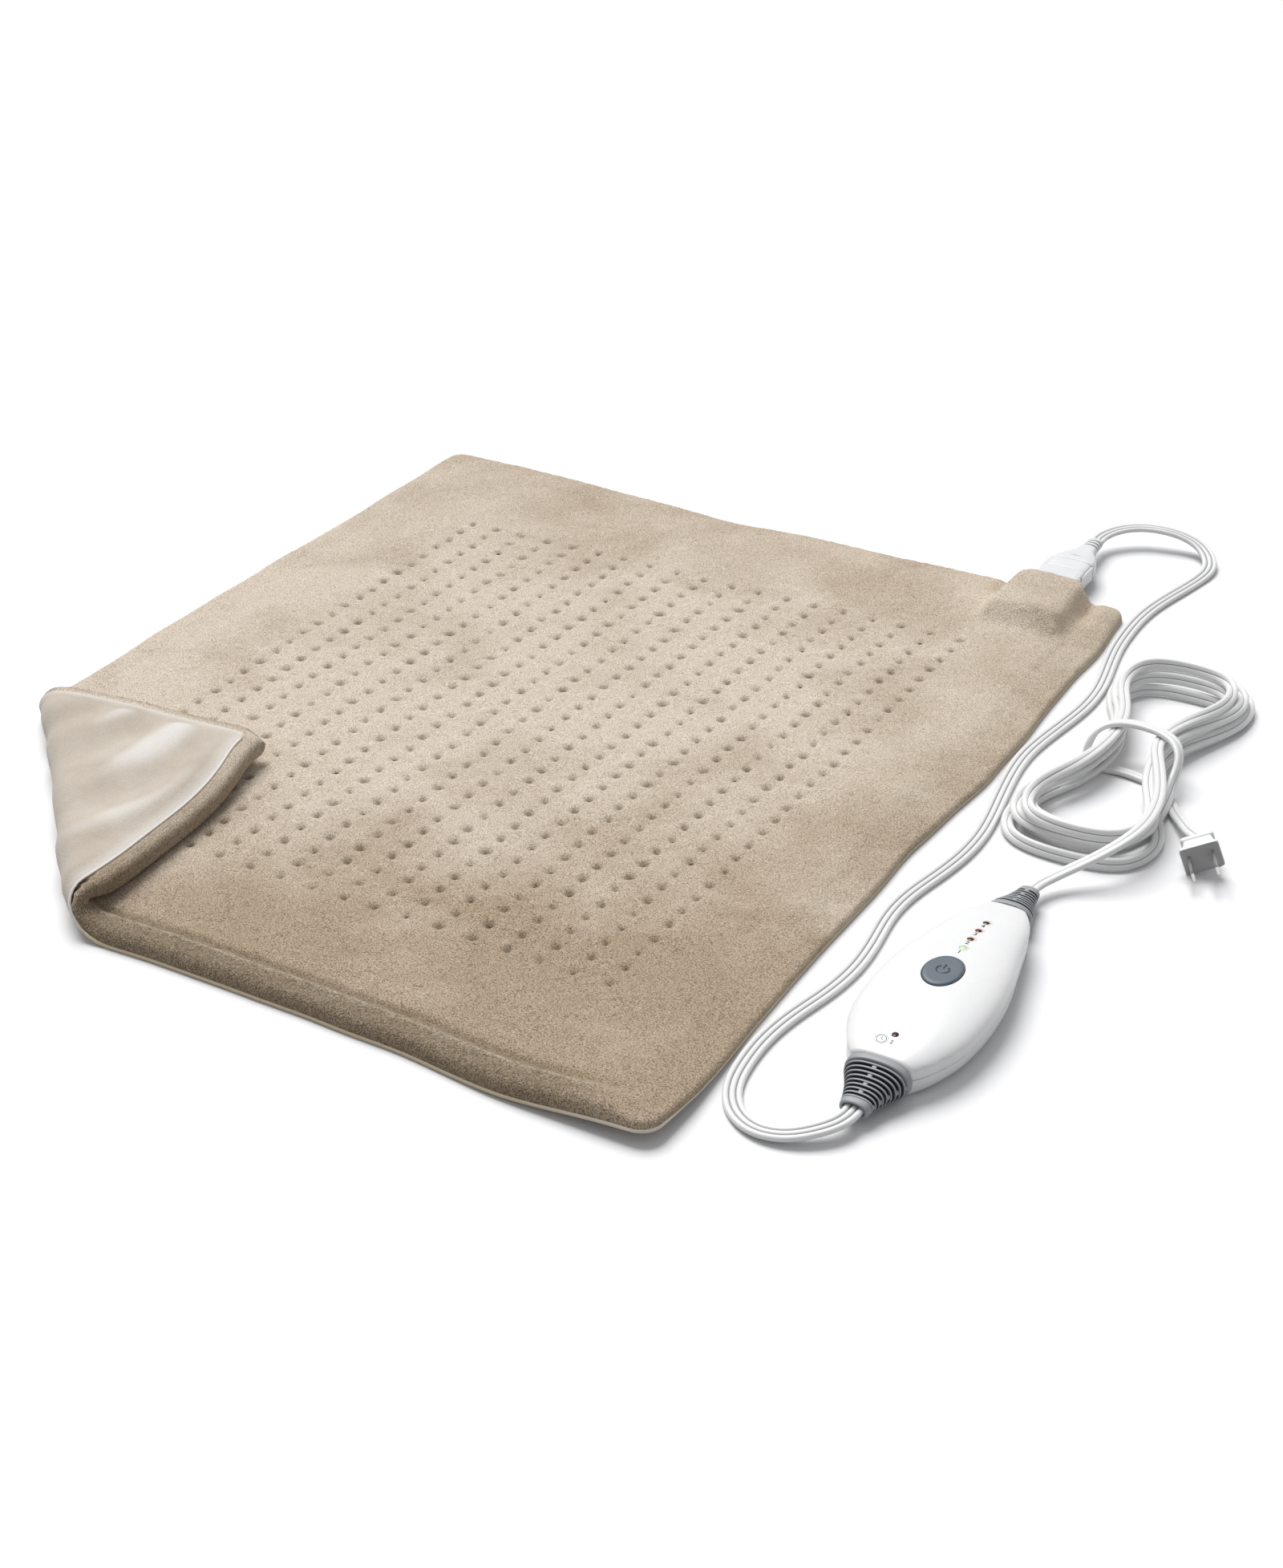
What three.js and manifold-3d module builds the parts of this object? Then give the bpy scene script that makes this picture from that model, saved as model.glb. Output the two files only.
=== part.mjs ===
// Electric heating pad, 20 x 24 inches, with one corner folded over, a hand controller and a mains cord.
// Millimetres, +Z up. X runs along the short side of the pad and Y along the long side, towards its
// connector. The origin is the middle of the pad's underside.
import * as THREE from 'three';
import { mergeVertices } from 'three/addons/utils/BufferGeometryUtils.js';
import Module from 'manifold-3d';

const wasm = await Module();
wasm.setup();

// Sizes shared by the whole object
const seam = 0.3;
const overrun = 2;
const mergeTolerance = 0.0005;

// Pad: outline, fold and layers, all from the underside up
const padWidth = 508;
const padLength = 610;
const padCornerRadius = 18;
const foldStartOnSide = 168;
const foldStartOnFront = 201;
const foldRadius = 11;
const foldDroop = 1.2;
const foldFacets = 5;
const undersideThickness = 1.8;
const feltThickness = 1.2;
const wireDiameter = 1.8;
const plushThickness = 3.6;
const plushEdgeDrop = 1.6;
const hemWidth = 18;
const hemStitchWidth = 5;
const hemStitchDepth = 2.4;
const stitchGap = 1.5;

// Tack grid that quilts the plush to the heating layer
const tackColumns = 19;
const tackRows = 23;
const tackPitchX = 19.7;
const tackPitchY = 19.2;
const tackDepth = 2.2;
const tackFieldShiftX = 5.5;
const tackFieldShiftY = -7;
const feltBorder = 14;
const wireRuns = 9;
const wireSides = 6;

// Connector between pad and cord
const connectorInset = 50;
const connectorX = padWidth / 2 - connectorInset;
const socketWidth = 30.5;
const socketHeight = 12.6;
const socketBase = 4.6;
const socketLength = 56;
const socketOutreach = 17;
const socketWall = 3;
const tongueLength = 18;
const pinDiameter = 2;
const pinSpacing = 6.4;
const pinLength = 13;
const contactWidth = 3.4;
const hoodRoundness = 4;
const socketRimBevel = 1.2;
const reliefWidthShare = 0.38;
const reliefHeightShare = 0.62;
const reliefRoundness = 2.4;
const hoodLength = 43;
const reliefRibs = 4;
const reliefRibPitch = 4;
const cuffWidth = 62;
const cuffLength = 50;
const cuffHeight = 20.5;
const tabWidth = 9;
const tabThickness = 2.2;
const tabReach = 8;
const tabTravel = 1;

// Flat cords
const leadWidth = 9.6;
const leadThickness = 3.2;
const mainsWidth = 7;
const mainsThickness = 3.3;

// Controller housing
const controllerBeside = 73.5;
const controllerX = padWidth / 2 + controllerBeside;
const controllerY = -145;
const housingLength = 152;
const housingWidth = 66;
const housingHeight = 26;
const housingWall = 2;
const partingHeight = 11;
const housingSections = 12;
const halfSectionSteps = 9;

// Power button and switch
const buttonWidth = 21;
const buttonLength = 25;
const buttonProud = 0.9;
const buttonTravel = 0.8;
const buttonGap = 0.4;
const buttonFlange = 1.6;
const buttonFlangeThickness = 1.2;
const buttonFlangeDepth = 1.4;
const buttonWall = 2;
const buttonCapThickness = 2.6;
const plungerRadius = 2.4;
const switchBodyWidth = 6;
const switchHeight = 4.2;
const switchStem = 1.2;
const switchStemRadius = 1.7;

// Controller insides
const boardThickness = 1.6;
const boardHeight = 7;
const boardClearance = 6.8;
const screwHeadRadius = 2.5;
const screwHeadHeight = 2.4;
const screwRecess = 2.2;
const screwShankRadius = 1.1;
const screwGrip = 8;
const bossRadius = 3.6;
const bossFootRadius = 4.8;
const upperBossRadius = 3;
const indicatorRadius = 1.5;
const indicatorFlange = 0.9;
const indicatorFlangeThickness = 2;
const triacWidth = 10;
const triacThickness = 4.5;
const triacHeight = 9;
const triacTabThickness = 1.2;
const triacTabHeight = 12;
const fuseRadius = 2.6;
const fuseLength = 20;
const fuseClipWidth = 4;
const fuseClipLength = 3;
const capacitorWidth = 12;
const capacitorLength = 18;
const capacitorHeight = 10;
const chipWidth = 10;
const chipLength = 8;
const chipHeight = 1.6;

// Slotted strain reliefs of the controller
const slotWidth = 1.5;
const slotBridge = 2.6;
const collarLength = 3.6;
const cordSeat = 2.6;
const tipRing = cordSeat + 3 * seam;
const reliefFlangeThickness = 1.8;
const reliefFlangeRim = 1.8;
const neckRoundness = 2.6;

// Plug
const bladeLength = 17;
const bladeWidth = 6.35;
const bladeThickness = 1.5;
const bladeSpacing = 12.7;
const bladeSeat = 6;
const plugWidth = 21;
const plugHeight = 16;
const plugDepth = 16;

// Hank of mains cord
const hankBeside = 71;
const hankX = padWidth / 2 + hankBeside;
const hankY = 122;
const hankHalfLength = 116;
const hankHalfWidth = 41;
const hankTurns = 4;
const hankSteps = 24;
const hankPitch = 7.4;
const hankWaistLift = 4.4;

// Materials
function paint(color, roughness, metalness = 0) {
  return new THREE.MeshStandardMaterial({ color, roughness, metalness });
}
const plush = paint('#c8b79d', 1);
const brushedCloth = paint('#d9cfc0', 0.95);
const felt = paint('#e8e4da', 1);
const wireRubber = paint('#b9503c', 0.6);
const whiteGloss = paint('#f4f4f4', 0.25);
const clearWhite = paint('#eef0f0', 0.3);
const whiteCord = paint('#f2f2f2', 0.4);
const greyRubber = paint('#8c8f91', 0.7);
const slate = paint('#5a646c', 0.45);
const boardGreen = paint('#2f6b46', 0.6);
const blackPlastic = paint('#26282a', 0.5);
const steel = paint('#a9adb0', 0.35, 1);
const nickel = paint('#c9c6bd', 0.25, 1);
const brass = paint('#b8995a', 0.35, 1);
const darkLens = paint('#4a1f1a', 0.3);
const greenLens = paint('#7fe07a', 0.3);
const ceramic = paint('#d8d2c4', 0.6);

// Solids
function positionsOnly(geometry) {
  const bare = new THREE.BufferGeometry();
  bare.setAttribute('position', geometry.getAttribute('position').clone());
  if (geometry.index) bare.setIndex(geometry.index.clone());
  return mergeVertices(bare, mergeTolerance);
}

function signedVolume(geometry) {
  const p = geometry.getAttribute('position');
  const index = geometry.index;
  const [a, b, c] = [new THREE.Vector3(), new THREE.Vector3(), new THREE.Vector3()];
  let volume = 0;
  for (let i = 0; i < index.count; i += 3) {
    a.fromBufferAttribute(p, index.getX(i));
    b.fromBufferAttribute(p, index.getX(i + 1));
    c.fromBufferAttribute(p, index.getX(i + 2));
    volume += a.dot(b.cross(c)) / 6;
  }
  return volume;
}

function facingOut(geometry) {
  const merged = positionsOnly(geometry);
  if (signedVolume(merged) < 0) {
    const index = merged.index.array;
    for (let i = 0; i < index.length; i += 3) [index[i], index[i + 1]] = [index[i + 1], index[i]];
  }
  return merged;
}

function solid(geometry) {
  const merged = facingOut(geometry);
  return new wasm.Manifold(new wasm.Mesh({
    numProp: 3,
    vertProperties: new Float32Array(merged.getAttribute('position').array),
    triVerts: new Uint32Array(merged.index.array),
  }));
}

function geometryOf(manifold) {
  const mesh = manifold.getMesh();
  const geometry = new THREE.BufferGeometry();
  geometry.setAttribute('position', new THREE.BufferAttribute(new Float32Array(mesh.vertProperties), 3));
  geometry.setIndex(new THREE.BufferAttribute(new Uint32Array(mesh.triVerts), 1));
  return geometry;
}

function joined(...solids) {
  return solids.reduce((sum, next) => sum.add(next));
}

function boxSolid(x0, x1, y0, y1, z0, z1) {
  const geometry = new THREE.BoxGeometry(x1 - x0, y1 - y0, z1 - z0);
  geometry.translate((x0 + x1) / 2, (y0 + y1) / 2, (z0 + z1) / 2);
  return solid(geometry);
}

function post(x, y, z0, z1, radius, sides = 8) {
  const geometry = new THREE.CylinderGeometry(radius, radius, z1 - z0, sides);
  geometry.rotateX(Math.PI / 2);
  geometry.translate(x, y, (z0 + z1) / 2);
  return solid(geometry);
}

function rodAlongY(x, z, y0, y1, radius, sides = 8) {
  const geometry = new THREE.CylinderGeometry(radius, radius, y1 - y0, sides);
  geometry.translate(x, (y0 + y1) / 2, z);
  return solid(geometry);
}

// A closed skin over a row of rings with equal counts, capped at both ends.
function loft(rings) {
  const count = rings[0].length;
  const points = rings.flat();
  const index = [];
  for (let r = 0; r < rings.length - 1; r++) {
    for (let i = 0; i < count; i++) {
      const j = (i + 1) % count;
      const [a, b, c, d] = [r * count + i, r * count + j, (r + 1) * count + j, (r + 1) * count + i];
      index.push(a, b, c, a, c, d);
    }
  }
  const last = (rings.length - 1) * count;
  const middle = (ring) => ring.reduce((sum, p) => sum.add(p), new THREE.Vector3()).divideScalar(count);
  points.push(middle(rings[0]), middle(rings[rings.length - 1]));
  for (let i = 0; i < count; i++) {
    const j = (i + 1) % count;
    index.push(points.length - 2, j, i, points.length - 1, last + i, last + j);
  }
  const geometry = new THREE.BufferGeometry().setFromPoints(points);
  geometry.setIndex(index);
  return geometry;
}

// An oval ring across Y, rounder or squarer by its power.
function ovalRing(y, x, z, halfWidth, halfHeight, power = 2.6, steps = 16) {
  const ring = [];
  for (let i = 0; i < steps; i++) {
    const angle = (i * 2 * Math.PI) / steps;
    const [c, s] = [Math.cos(angle), Math.sin(angle)];
    const along = Math.sign(c) * Math.abs(c) ** (2 / power);
    const up = Math.sign(s) * Math.abs(s) ** (2 / power);
    ring.push(new THREE.Vector3(x + halfWidth * along, y, z + halfHeight * up));
  }
  return ring;
}

function ovalBar(stations, power, steps) {
  return loft(stations.map(([y, x, z, w, h]) => ovalRing(y, x, z, w, h, power, steps)));
}

function plate(outline, z0, z1) {
  const shape = new THREE.Shape(outline);
  const geometry = new THREE.ExtrudeGeometry(shape, { depth: z1 - z0, bevelEnabled: false });
  geometry.translate(0, 0, z0);
  return geometry;
}

function named(name, geometry, material) {
  const shape = geometry instanceof wasm.Manifold ? geometryOf(geometry) : facingOut(geometry);
  const mesh = new THREE.Mesh(shape, material);
  mesh.name = name;
  return mesh;
}

// The fold: the front left corner turns up about a straight line and lies back on the pad.
const padCorner = new THREE.Vector2(-padWidth / 2, -padLength / 2);
const foldAcross = new THREE.Vector2(1 / foldStartOnFront, 1 / foldStartOnSide).normalize();
const foldDistance = foldAcross.x * foldStartOnFront;
const undersideTop = undersideThickness;
const layerBase = undersideTop + seam;
const feltTop = layerBase + feltThickness;
const wireHeight = feltTop + seam + wireDiameter / 2;
const plushBase = wireHeight + wireDiameter / 2 + seam;
const padTop = plushBase + plushThickness;
const foldMiddle = foldRadius - padTop / 2;
const foldAngle = Math.PI + THREE.MathUtils.degToRad(foldDroop);
const foldArc = foldMiddle * foldAngle;

function beyondFold(x, y) {
  return foldDistance - (x - padCorner.x) * foldAcross.x - (y - padCorner.y) * foldAcross.y;
}

// The bend is a row of flat facets, so that every layer follows the one below it.
function foldPoint(x, y, w) {
  const s = beyondFold(x, y);
  if (s <= 0) return new THREE.Vector3(x, y, w);
  const radius = foldRadius - w;
  const facet = Math.min(Math.floor((s / foldArc) * foldFacets), foldFacets - 1);
  const within = Math.min((s / foldArc) * foldFacets - facet, 1);
  const corner = (k) => {
    const angle = (foldAngle * k) / foldFacets;
    return new THREE.Vector2(radius * Math.sin(angle), foldRadius - radius * Math.cos(angle));
  };
  const place = corner(facet).lerp(corner(facet + 1), within);
  const rest = Math.max(s - foldArc, 0);
  place.add(new THREE.Vector2(Math.cos(foldAngle), Math.sin(foldAngle)).multiplyScalar(rest));
  return new THREE.Vector3(x + (s - place.x) * foldAcross.x, y + (s - place.x) * foldAcross.y, place.y);
}

// Cuts every facet along lines parallel to the fold, so that the bent cloth keeps clean facets.
function cutAcross(geometry, levels) {
  const p = geometry.getAttribute('position');
  const index = geometry.index.array;
  const out = [];
  const corner = (i) => new THREE.Vector3().fromBufferAttribute(p, i);
  const reach = (i) => {
    const s = beyondFold(p.getX(i), p.getY(i));
    const near = levels.find((level) => Math.abs(s - level) < mergeTolerance);
    return near === undefined ? s : near;
  };
  const crossing = (i, j, level) => {
    const [a, b] = i < j ? [i, j] : [j, i];
    return corner(a).lerp(corner(b), (level - reach(a)) / (reach(b) - reach(a)));
  };
  const bounds = [-Infinity, ...levels, Infinity];
  for (let t = 0; t < index.length; t += 3) {
    const ids = [index[t], index[t + 1], index[t + 2]];
    const reaches = ids.map(reach);
    for (let strip = 0; strip < bounds.length - 1; strip++) {
      const [low, high] = [bounds[strip], bounds[strip + 1]];
      if (Math.max(...reaches) <= low || Math.min(...reaches) >= high) {
        if (!(reaches.every((r) => r === high))) continue;
      }
      const polygon = [];
      for (let k = 0; k < 3; k++) {
        const n = (k + 1) % 3;
        const [from, to] = [reaches[k], reaches[n]];
        if (from >= low && from <= high) polygon.push(corner(ids[k]));
        const passed = [low, high].filter((level) => (from - level) * (to - level) < 0);
        if (from > to) passed.reverse();
        for (const level of passed) polygon.push(crossing(ids[k], ids[n], level));
      }
      for (let k = 1; k < polygon.length - 1; k++) out.push(polygon[0], polygon[k], polygon[k + 1]);
    }
  }
  return positionsOnly(new THREE.BufferGeometry().setFromPoints(out));
}

function folded(flat) {
  const levels = [];
  for (let k = 0; k <= foldFacets; k++) levels.push((foldArc * k) / foldFacets);
  const whole = flat instanceof wasm.Manifold ? positionsOnly(geometryOf(flat)) : facingOut(flat);
  const geometry = cutAcross(whole, levels);
  const p = geometry.getAttribute('position');
  for (let i = 0; i < p.count; i++) {
    const moved = foldPoint(p.getX(i), p.getY(i), p.getZ(i));
    p.setXYZ(i, moved.x, moved.y, moved.z);
  }
  return geometry;
}

// Pad outline: each side is stepped, and each corner is a short round.
const outlineStepsX = (tackColumns - 1) / 2;
const outlineStepsY = (tackRows - 1) / 2;

function sideStops(length, steps, radius) {
  const stops = [0, radius];
  for (let i = 1; i < steps - 1; i++) stops.push(radius + ((length - 2 * radius) * i) / (steps - 2));
  return stops;
}

function padOutline(inset) {
  const [w, l] = [padWidth - 2 * inset, padLength - 2 * inset];
  const radius = padCornerRadius + inset / 4;
  const pull = radius * (1 - Math.SQRT1_2);
  const points = [];
  const walk = [[-1, -1, 1, 0, w, outlineStepsX], [1, -1, 0, 1, l, outlineStepsY],
    [1, 1, -1, 0, w, outlineStepsX], [-1, 1, 0, -1, l, outlineStepsY]];
  for (const [cx, cy, dx, dy, length, steps] of walk) {
    for (const stop of sideStops(length, steps, radius)) {
      const point = new THREE.Vector2((cx * w) / 2 + dx * stop, (cy * l) / 2 + dy * stop);
      if (stop === 0) point.sub(new THREE.Vector2(cx, cy).multiplyScalar(pull));
      points.push(point);
    }
  }
  return points;
}

// Heating layer outline and the tack grid, both centred on the same field
const fieldWidth = (tackColumns - 1) * tackPitchX;
const fieldLength = (tackRows - 1) * tackPitchY;
const feltLeft = tackFieldShiftX - fieldWidth / 2 - feltBorder;
const feltRight = connectorX + pinSpacing + 2 * wireDiameter;
const feltFront = tackFieldShiftY - fieldLength / 2 - feltBorder;
const feltBack = tackFieldShiftY + fieldLength / 2 + 2 * feltBorder;

// Socket block and the places that follow it
const socketFront = padLength / 2 + socketOutreach;
const socketBack = socketFront - socketLength;
const socketMiddle = socketBase + socketHeight / 2;
const leadGap = 2 * wireDiameter;

// The plush pocket over the socket
const cuffBack = padLength / 2 - seam;
const cuffFront = cuffBack - cuffLength;
const cuffLeft = connectorX - cuffWidth / 2;
const cuffRight = connectorX + cuffWidth / 2;

function topCover() {
  const columns = tackColumns - 1;
  const rows = tackRows - 1;
  const points = [];
  const index = [];
  const low = padTop - tackDepth;
  const left = tackFieldShiftX - fieldWidth / 2;
  const front = tackFieldShiftY - fieldLength / 2;
  const tack = (i, j) => j * (columns + 1) + i;
  const crown = (i, j) => (columns + 1) * (rows + 1) + j * columns + i;
  for (let j = 0; j <= rows; j++) {
    for (let i = 0; i <= columns; i++) points.push([left + i * tackPitchX, front + j * tackPitchY, low]);
  }
  for (let j = 0; j < rows; j++) {
    for (let i = 0; i < columns; i++) {
      points.push([left + (i + 0.5) * tackPitchX, front + (j + 0.5) * tackPitchY, padTop]);
      const ring = [tack(i, j), tack(i + 1, j), tack(i + 1, j + 1), tack(i, j + 1)];
      ring.forEach((corner, k) => index.push(corner, ring[(k + 1) % 4], crown(i, j)));
    }
  }
  const edge = [];
  for (let i = 0; i < columns; i++) edge.push(tack(i, 0));
  for (let j = 0; j < rows; j++) edge.push(tack(columns, j));
  for (let i = columns; i > 0; i--) edge.push(tack(i, rows));
  for (let j = rows; j > 0; j--) edge.push(tack(0, j));
  const outer = padOutline(hemWidth + stitchGap);
  const count = outer.length;
  const start = points.length;
  const shoulder = outer.map((p, i) => {
    const [x, y] = points[edge[2 * i]];
    return [(x + p.x) / 2, (y + p.y) / 2, padTop];
  });
  points.push(...shoulder);
  points.push(...outer.map((p) => [p.x, p.y, padTop - plushEdgeDrop]));
  points.push(...outer.map((p) => [p.x, p.y, layerBase]));
  for (let i = 0; i < count; i++) {
    const j = (i + 1) % count;
    const [a, b, c] = [edge[2 * i], edge[2 * i + 1], edge[(2 * i + 2) % edge.length]];
    index.push(start + i, b, a, start + i, start + j, b, b, start + j, c);
    for (const level of [start, start + count]) {
      index.push(level + count + i, level + count + j, level + i, level + count + j, level + j, level + i);
    }
  }
  const base = start + 2 * count;
  for (const [a, b, c] of THREE.ShapeUtils.triangulateShape(outer, [])) {
    index.push(base + a, base + c, base + b);
  }
  const geometry = new THREE.BufferGeometry();
  geometry.setAttribute('position', new THREE.Float32BufferAttribute(points.flat(), 3));
  geometry.setIndex(index);
  const hollow = boxSolid(feltLeft - seam, feltRight + seam, feltFront - seam, feltBack + seam,
    layerBase - overrun, plushBase);
  const channel = boxSolid(connectorX - pinSpacing - leadGap, connectorX + pinSpacing + leadGap,
    feltBack - overrun, cuffFront + overrun, layerBase - overrun, plushBase);
  return solid(geometry).subtract(hollow).subtract(channel).subtract(cuffSpace(seam));
}

// Room that the cuff takes out of the flat cloth around it
function cuffSpace(gap) {
  return boxSolid(cuffLeft - gap, cuffRight + gap, cuffFront - gap, padLength / 2 + overrun,
    layerBase - overrun, padTop + overrun);
}

// A rolled border all round the pad, with the stitched groove on its inner side
function edgeHem() {
  const profile = [
    [0, layerBase + (padTop - layerBase) / 3], [0, padTop - plushEdgeDrop],
    [hemStitchWidth / 2, padTop], [hemWidth - hemStitchWidth, padTop],
    [hemWidth - hemStitchWidth / 2, padTop - hemStitchDepth], [hemWidth, padTop - plushEdgeDrop],
    [hemWidth, layerBase], [hemStitchWidth / 4, layerBase],
  ];
  const lines = profile.map(([inset, z]) => padOutline(inset).map((p) => new THREE.Vector3(p.x, p.y, z)));
  const count = lines[0].length;
  const index = [];
  for (let k = 0; k < lines.length; k++) {
    const next = (k + 1) % lines.length;
    for (let i = 0; i < count; i++) {
      const j = (i + 1) % count;
      index.push(k * count + i, k * count + j, next * count + j);
      index.push(k * count + i, next * count + j, next * count + i);
    }
  }
  const geometry = new THREE.BufferGeometry().setFromPoints(lines.flat());
  geometry.setIndex(index);
  return solid(geometry).subtract(cuffSpace(seam));
}

function socketCuff() {
  const stationShares = [
    [0, 0.42, 0.9], [0.22, 0.62, 0.97], [0.48, 0.95, 1], [0.86, 1, 0.98], [1, 0.9, 0.95],
  ];
  const bulgeShares = [[1, 0], [0.93, 0.42], [0.74, 0.6], [0.5, 0.86], [0.27, 0.99], [0, 1]];
  const rings = stationShares.map(([along, tall, wide]) => {
    const y = cuffFront + cuffLength * along;
    const height = (cuffHeight - layerBase) * tall;
    const half = (cuffWidth / 2) * wide;
    const at = (x, z) => new THREE.Vector3(connectorX + half * x, y, layerBase + height * z);
    const right = bulgeShares.map(([x, z]) => at(x, z));
    const left = bulgeShares.slice(0, -1).reverse().map(([x, z]) => at(-x, z));
    return [...right, ...left];
  });
  const pocket = boxSolid(connectorX - socketWidth / 2 - seam, connectorX + socketWidth / 2 + seam,
    socketBack - seam, cuffBack + overrun, layerBase - overrun, socketBase + socketHeight + seam);
  const leadWay = boxSolid(connectorX - pinSpacing - leadGap, connectorX + pinSpacing + leadGap,
    cuffFront - overrun, socketBack, layerBase - overrun, plushBase);
  return solid(loft(rings)).subtract(pocket).subtract(leadWay);
}

function undersideCover() {
  return plate(padOutline(0), 0, undersideTop);
}

function heatingFelt() {
  const outline = [
    [feltLeft, feltFront], [feltRight, feltFront], [feltRight, feltBack], [feltLeft, feltBack],
  ];
  return plate(outline.map(([x, y]) => new THREE.Vector2(x, y)), layerBase, feltTop);
}

// The heating wire runs to and fro between the tacks, and both of its ends come back to the socket.
function heatingWire() {
  const runPitch = (2 * fieldWidth) / (tackColumns - 1);
  const bend = runPitch / 2;
  const right = tackFieldShiftX + ((wireRuns - 1) / 2) * runPitch;
  const front = tackFieldShiftY - fieldLength / 2 + bend;
  const back = tackFieldShiftY + fieldLength / 2 - bend;
  const at = (x, y) => new THREE.Vector2(x, y);
  const startX = connectorX - pinSpacing;
  const endX = connectorX + pinSpacing;
  const leadEnd = socketBack - seam;
  const points = [];
  const line = (...stops) => points.push(...stops);
  const turn = (cx, cy, from, to) => {
    for (let i = 0; i <= 4; i++) {
      const angle = from + ((to - from) * i) / 4;
      points.push(at(cx + bend * Math.cos(angle), cy + bend * Math.sin(angle)));
    }
  };
  line(at(startX, leadEnd), at(startX, feltBack - feltBorder / 2));
  line(at(right + bend / 2, back + bend));
  for (let i = 0; i < wireRuns; i++) {
    const x = right - i * runPitch;
    const down = i % 2 === 0;
    if (i === 0) line(at(x, back));
    if (i < wireRuns - 1) {
      if (down) turn(x - bend, front, 0, -Math.PI);
      else turn(x - bend, back, 0, Math.PI);
    } else line(at(x, front));
  }
  const left = right - (wireRuns - 1) * runPitch - bend;
  const rim = feltBorder / 2;
  line(at(left + bend / 2, front - bend / 2), at(left, front), at(left, back + bend),
    at(left + bend, feltBack - rim / 2));
  line(at(endX - bend / 2, feltBack - rim / 2), at(endX, feltBack + rim), at(endX, leadEnd));
  return flatTube(points);
}

// A round tube of few sides through a flat row of points, mitred at each one
function flatTube(points) {
  const rings = points.map((point, i) => {
    const before = points[Math.max(i - 1, 0)];
    const after = points[Math.min(i + 1, points.length - 1)];
    const into = point.clone().sub(before).normalize();
    const out = after.clone().sub(point).normalize();
    if (into.length() === 0) into.copy(out);
    if (out.length() === 0) out.copy(into);
    const along = into.clone().add(out).normalize();
    const stretch = 1 / Math.max(along.dot(into), 0.5);
    const across = new THREE.Vector2(-along.y, along.x);
    const ring = [];
    for (let k = 0; k < wireSides; k++) {
      const angle = ((k + 0.5) * 2 * Math.PI) / wireSides;
      const offset = (wireDiameter / 2) * Math.cos(angle) * stretch;
      ring.push(new THREE.Vector3(point.x + across.x * offset, point.y + across.y * offset,
        wireHeight + (wireDiameter / 2) * Math.sin(angle)));
    }
    return ring;
  });
  return loft(rings);
}

// Socket in the pad and connector on the cord
const cavityHalfWidth = socketWidth / 2 - socketWall;
const cavityHalfHeight = socketHeight / 2 - (2 * socketWall) / 3;
const tongueTip = socketFront - tongueLength;
const pinXs = [-1, 0, 1].map((i) => connectorX + i * pinSpacing);

function tabNotch(side, gap) {
  const wall = connectorX + (side * socketWidth) / 2;
  const inner = wall - side * (socketWall + overrun);
  return boxSolid(Math.min(wall + side * overrun, inner), Math.max(wall + side * overrun, inner),
    socketFront - tabReach - gap, socketFront + overrun, socketMiddle - tabWidth / 2 - gap,
    socketMiddle + tabWidth / 2 + gap);
}

function padSocket() {
  const half = socketWidth / 2;
  const rim = socketRimBevel;
  const stations = [[socketBack, half - rim, rim], [socketBack + rim, half, 0], [socketFront, half, 0]];
  const body = solid(loft(stations.map(([y, w, cut]) =>
    ovalRing(y, connectorX, socketMiddle, w, socketHeight / 2 - cut, 6, 16))));
  const cavity = boxSolid(connectorX - cavityHalfWidth, connectorX + cavityHalfWidth,
    tongueTip - seam, socketFront + overrun,
    socketMiddle - cavityHalfHeight, socketMiddle + cavityHalfHeight);
  const pinSeat = socketBack + socketWall;
  const seats = pinXs.map((x) => rodAlongY(x, socketMiddle, pinSeat, socketFront, pinDiameter / 2 + seam));
  return body.subtract(joined(cavity, ...seats)).subtract(tabNotch(-1, seam)).subtract(tabNotch(1, seam));
}

function socketPin(x) {
  const seat = socketBack + socketWall + seam;
  return rodAlongY(x, socketMiddle, seat, tongueTip + pinLength, pinDiameter / 2);
}

function connectorHood() {
  const front = socketFront + seam;
  const stationShares = [
    [0, 1, 1], [0.06, 1.02, 1.02], [0.45, 0.98, 1], [0.68, 0.72, 0.86], [0.86, 0.47, 0.7], [1, 0.41, 0.66],
  ];
  const stations = stationShares.map(([along, wide, tall]) => {
    const y = front + hoodLength * along;
    return [y, connectorX, socketMiddle, (socketWidth / 2) * wide, (socketHeight / 2) * tall];
  });
  const hood = solid(ovalBar(stations, hoodRoundness, 16));
  const tongue = boxSolid(connectorX - cavityHalfWidth + seam, connectorX + cavityHalfWidth - seam,
    tongueTip, front + overrun, socketMiddle - cavityHalfHeight + seam, socketMiddle + cavityHalfHeight - seam);
  const room = contactWidth / 2 + seam;
  const bores = pinXs.map((x) => boxSolid(x - room, x + room,
    tongueTip - overrun, tongueTip + pinLength + overrun, socketMiddle - room, socketMiddle + room));
  const tabRooms = [-1, 1].map((side) => tabPocket(side));
  return hood.add(tongue).subtract(joined(...bores)).subtract(joined(...tabRooms));
}

function contact(x) {
  const half = contactWidth / 2;
  const sleeve = boxSolid(x - half, x + half, tongueTip + seam, tongueTip + pinLength + overrun - seam,
    socketMiddle - half, socketMiddle + half);
  return sleeve.subtract(rodAlongY(x, socketMiddle, tongueTip - overrun, tongueTip + pinLength + seam,
    pinDiameter / 2 + seam));
}

// Each release tab lies in the side of the hood and reaches into a notch in the socket's side.
const tabRoot = tabReach * 1.6;

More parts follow.
